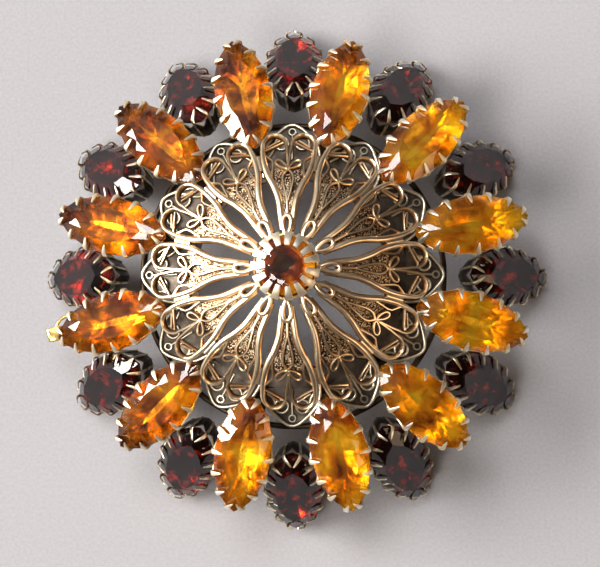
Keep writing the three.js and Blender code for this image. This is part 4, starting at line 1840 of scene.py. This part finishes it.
@dataclass
class Fitting:
    """A small fitting taken over from its CAD solid, with its edges broken as by tumbling.

    Attributes:
        node: its CAD node.
        name: the piece's name.
        body: the body it moves with.
        slot: its material slot.
        finish: its material.
        edge: width of the broken edges.
        sharp_degrees: edges bent by more than this are broken.
    """

    node: str
    name: str
    body: Body
    slot: Slot
    finish: bpy.types.Material
    edge: float = 0.1
    sharp_degrees: float = 50.0

    def build(self) -> None:
        """Copies the solid, merges its corners, joins its flat faces and rounds its edges."""
        shape = bmesh.new()
        shape.from_mesh(frame["nodes"][self.node].data)
        bmesh.ops.remove_doubles(shape, verts=shape.verts, dist=1e-6)
        bmesh.ops.dissolve_limit(
            shape, angle_limit=math.radians(1.0), verts=shape.verts, edges=shape.edges
        )
        mesh = bpy.data.meshes.new(self.name)
        shape.to_mesh(mesh)
        shape.free()
        mesh.materials.clear()
        mesh.materials.append(self.finish)
        mesh.polygons.foreach_set("material_index", np.zeros(len(mesh.polygons), np.int32))
        mesh.polygons.foreach_set("use_smooth", np.ones(len(mesh.polygons), bool))
        attribute = mesh.attributes.new("relief", "FLOAT", "POINT")
        attribute.data.foreach_set("value", np.full(len(mesh.vertices), 0.7, np.float32))
        mesh.set_sharp_from_angle(angle=math.radians(self.sharp_degrees))
        piece = bpy.data.objects.new(self.name, mesh)
        bpy.context.scene.collection.objects.link(piece)
        bevel = piece.modifiers.new("broken_edges", "BEVEL")
        bevel.width = self.edge * MM
        bevel.segments = 2
        bevel.limit_method = "ANGLE"
        bevel.angle_limit = math.radians(self.sharp_degrees)
        bevel.harden_normals = True
        settle(piece, self.body, self.slot, self.node)


@dataclass
class PinStem:
    """The pin: a knuckle that turns on the rivet and a wire drawn to a long point."""

    finishes: Finishes
    wire_radius: float = 0.48
    knuckle_radius: float = 1.08
    bore_radius: float = 0.45
    knuckle_width: float = 0.94
    point_length: float = 5.5

    def build(self) -> None:
        """Builds the stem along X and the knuckle round the hinge's axis along Y."""
        hinge = pivot_mm("pin_hinge")
        end = box_mm("pin_stem")[1][0]
        start = hinge[0] + (self.knuckle_radius + self.bore_radius) / 2
        along = np.linspace(0, 1, 28) ** 0.8 * (end - start)
        left = end - start - along
        radius = self.wire_radius * np.clip(left / self.point_length, 0.06, 1) ** 0.7
        path = np.column_stack([start + along, np.full((len(along), 2), hinge[1:])])
        stem = wire(path, np.tile([0.0, 0.0, 1.0], (len(along), 1)), radius, radius, 20)
        section = rounded_box(self.knuckle_radius - self.bore_radius, self.knuckle_width, 0.14)
        middle = (self.knuckle_radius + self.bore_radius) / 2
        knuckle = revolve(section + np.array([middle, 0.0]), 40, 0.6)
        knuckle.points = knuckle.points[:, [0, 2, 1]] + hinge
        piece = make_object("pin_wire", [stem, knuckle.outward()], [self.finishes.steel], 50.0)
        settle(piece, Body.PIN, Slot.PIN_STEEL, "pin_stem")


@dataclass
class EdgeRing:
    """The small wire ring soldered under one bright stone, and the folded strip on it."""

    finishes: Finishes
    ring_width: float = 0.34
    ring_height: float = 0.68
    link_length: float = 1.85
    link_height: float = 1.5
    strip_wall: float = 0.28
    strip_width: float = 1.64

    def build(self) -> None:
        """Builds the ring and the link."""
        low, high = box_mm("bail_ring")
        outer = (high[0] - low[0]) / 2
        section = rounded_box(self.ring_width, self.ring_height, 0.14)
        ring = revolve(section + np.array([outer - 0.18, 0.0]), 64)
        ring.points = ring.points + (low + high) / 2
        piece = make_object("edge_ring", [ring], [self.finishes.gilt], 50.0)
        settle(piece, Body.BROOCH, Slot.YELLOW_GILT, "bail_ring")
        link = make_object("edge_link", [self.strip()], [self.finishes.gilt], 50.0)
        settle(link, Body.LINK, Slot.YELLOW_GILT, "bail_link")

    def strip(self) -> Patch:
        """The link: a flat strip bent into a rectangle with round corners round the wire.

        Returns:
            The closed strip.
        """
        pivot = pivot_mm("link_swing")
        out = unit(np.array([pivot[0], pivot[1], 0.0]))
        side = np.array([-out[1], out[0], 0.0])
        up = np.array([0.0, 0.0, 1.0])
        loop = rounded_box(self.link_length, self.link_height, 0.3, 6)
        strip = rounded_box(self.strip_wall, self.strip_width, 0.1)
        ahead = unit(np.roll(loop, -1, 0) - np.roll(loop, 1, 0))
        outward = np.column_stack([ahead[:, 1], -ahead[:, 0]])
        middle = np.array([0.075, 0.0])
        flat = loop[:, None] + outward[:, None] * strip[None, :, :1] + middle
        points = (
            pivot
            + flat[..., :1] * out
            + flat[..., 1:] * up
            + strip[None, :, 1:] * side
        )
        return grid_patch(points, 1.0, True)


# ---------------------------------------------------------------- studio


@dataclass
class Studio:
    """A pale floor, soft lights and the camera.

    Attributes:
        distance: from the camera to the brooch, in metres.
        focal_mm: the lens.
        aim: what the camera looks at, in metres.
        lean: the direction from there to the camera.
    """

    distance: float = 0.3
    focal_mm: float = 139.5
    aim: tuple[float, float, float] = (0.00045, -0.00045, 0.0)
    lean: tuple[float, float, float] = (0.045, -0.058, 0.997)

    def build(self) -> None:
        """Builds the floor, world, lights and camera."""
        self.floor()
        self.world()
        self.soft_box("window", (-2.2, 0.35, 1.0), 1.5, 182.0, "#FFFDFA")
        self.soft_box("top", (-0.1, 0.25, 0.6), 0.26, 2.9, "#F8FAFF")
        self.soft_box("near", (-0.2, -0.2, 0.5), 0.2, 1.9, "#FFFDFA")
        self.soft_box("fill", (0.5, -0.2, 0.32), 0.3, 0.7, "#FFDDB8")
        bpy.context.scene.view_settings.view_transform = "Standard"
        self.camera()

    def floor(self) -> None:
        """A wide pale board just under the brooch's feet."""
        side = 3.0
        mesh = bpy.data.meshes.new("floor")
        flat = [(-side, -side, 0.0), (side, -side, 0.0), (side, side, 0.0), (-side, side, 0.0)]
        mesh.from_pydata(flat, [], [(0, 1, 2, 3)])
        material, tree = new_surface("pale board")
        place = add_node(tree, "ShaderNodeTexCoord").outputs["Object"]
        grain = add_node(
            tree, "ShaderNodeTexNoise", inputs={"Vector": place, "Scale": 2500.0, "Detail": 2.0}
        ).outputs["Fac"]
        colour = add_node(
            tree,
            "ShaderNodeValToRGB",
            inputs={"Fac": grain},
            stops=[(0.3, "#8A8788"), (0.7, "#928F90")],
        ).outputs["Color"]
        shader = add_node(
            tree,
            "ShaderNodeBsdfPrincipled",
            inputs={"Base Color": colour, "Roughness": 0.9, "Specular IOR Level": 0.1},
        )
        add_node(tree, "ShaderNodeOutputMaterial", inputs={"Surface": shader.outputs[0]})
        mesh.materials.append(material)
        board = bpy.data.objects.new("floor", mesh)
        bpy.context.scene.collection.objects.link(board)

    def world(self) -> None:
        """A soft grey room, lighter above and to the left."""
        world = bpy.data.worlds.new("room")
        world.use_nodes = True
        tree = world.node_tree
        tree.nodes.clear()
        direction = add_node(tree, "ShaderNodeTexCoord").outputs["Generated"]
        towards = add_node(
            tree,
            "ShaderNodeVectorMath",
            {"operation": "DOT_PRODUCT"},
            {0: direction, 1: (-0.62, 0.34, 0.71)},
        ).outputs["Value"]
        colour = add_node(
            tree,
            "ShaderNodeValToRGB",
            inputs={"Fac": towards},
            stops=[(0.0, "#54463C"), (0.45, "#827A75"), (0.8, "#C0C0C4"), (1.0, "#F4F6FA")],
        ).outputs["Color"]
        background = add_node(
            tree, "ShaderNodeBackground", inputs={"Color": colour, "Strength": 0.6}
        )
        add_node(tree, "ShaderNodeOutputWorld", inputs={"Surface": background.outputs[0]})
        bpy.context.scene.world = world

    def soft_box(
        self, name: str, place: tuple[float, float, float], size: float, power: float, colour: str
    ) -> None:
        """A square soft light that faces the brooch.

        Args:
            name: the light's name.
            place: where it stands, in metres.
            size: its side in metres.
            power: in watts.
            colour: hex colour.
        """
        lamp = bpy.data.lights.new(name, "AREA")
        lamp.shape = "SQUARE"
        lamp.size = size
        lamp.energy = power
        lamp.color = srgb(colour)[:3]
        light = bpy.data.objects.new(name, lamp)
        self.face(light, np.array(place), np.zeros(3))
        bpy.context.scene.collection.objects.link(light)

    @staticmethod
    def face(thing: bpy.types.Object, place: np.ndarray, target: np.ndarray) -> None:
        """Stands an object at a place with its -Z towards the target and +Y upwards.

        Args:
            thing: the light or camera.
            place: where it stands, in metres.
            target: what it faces.
        """
        back = unit(place - target)
        right = unit(np.cross([0.0, 1.0, 0.0], back))
        up = np.cross(back, right)
        matrix = np.eye(4)
        matrix[:3, 0], matrix[:3, 1], matrix[:3, 2], matrix[:3, 3] = right, up, back, place
        thing.matrix_world = Matrix(matrix.tolist())

    def camera(self) -> None:
        """A long lens nearly straight above."""
        lens = bpy.data.cameras.new("camera")
        lens.lens = self.focal_mm
        lens.sensor_width = 36.0
        lens.clip_start = 0.01
        lens.clip_end = 20.0
        camera = bpy.data.objects.new("camera", lens)
        target = np.array(self.aim)
        self.face(camera, target + self.distance * unit(np.array(self.lean)), target)
        bpy.context.scene.collection.objects.link(camera)
        bpy.context.scene.camera = camera


def main() -> None:
    """Builds the brooch in order."""
    Studio().build()
    finishes = build_finishes()
    FiligreeDome(finishes).build()
    BaseLace(finishes).build()
    CentreStone(finishes).build()
    outline = navette_cut(HALF_LENGTH, HALF_WIDTH)
    StoneRing(
        "upper",
        CutStone(outline, crown=1.2, pavilion=2.5, table=0.6, keel=(0.5, 0.12)),
        NavetteSetting(),
        finishes.topaz,
        finishes.topaz_foil,
        finishes.antiqued,
        finishes.claws,
        Slot.TOPAZ,
        Slot.PRONG_GOLD,
        seed=7,
        # painted light and shade on the foils: darker on the left, brighter on the right
        side_light_amount=0.09,
    ).build()
    StoneRing(
        "lower",
        CutStone(outline, crown=1.2, pavilion=2.5, table=0.66, keel=(0.5, 0.12)),
        NavetteSetting(claw_width=0.22, claw_tip_width=0.06, claw_wall=0.1),
        finishes.garnet,
        finishes.garnet_foil,
        finishes.shade_darkened,
        finishes.dark_claws,
        Slot.GARNET,
        Slot.DARKENED_BRASS,
        seed=11,
    ).build()
    BackFrame(finishes).build()
    PinStem(finishes).build()
    EdgeRing(finishes).build()
    brooch, shade_darkened = Body.BROOCH, Slot.DARKENED_BRASS
    for fitting in (
        Fitting("pin_bar", "pin_plate", brooch, Slot.ANTIQUED_GOLD, finishes.antiqued),
        Fitting("pin_rivet", "hinge_rivet", brooch, Slot.PIN_STEEL, finishes.steel, 0.06),
        Fitting("centre_rivet", "dome_rivet", brooch, shade_darkened, finishes.shade_darkened, 0.06),
        Fitting("catch_roller", "catch_sleeve", Body.ROLLER, Slot.YELLOW_GILT, finishes.gilt, 0.05),
    ):
        fitting.build()


if __name__ == "__main__":
    main()
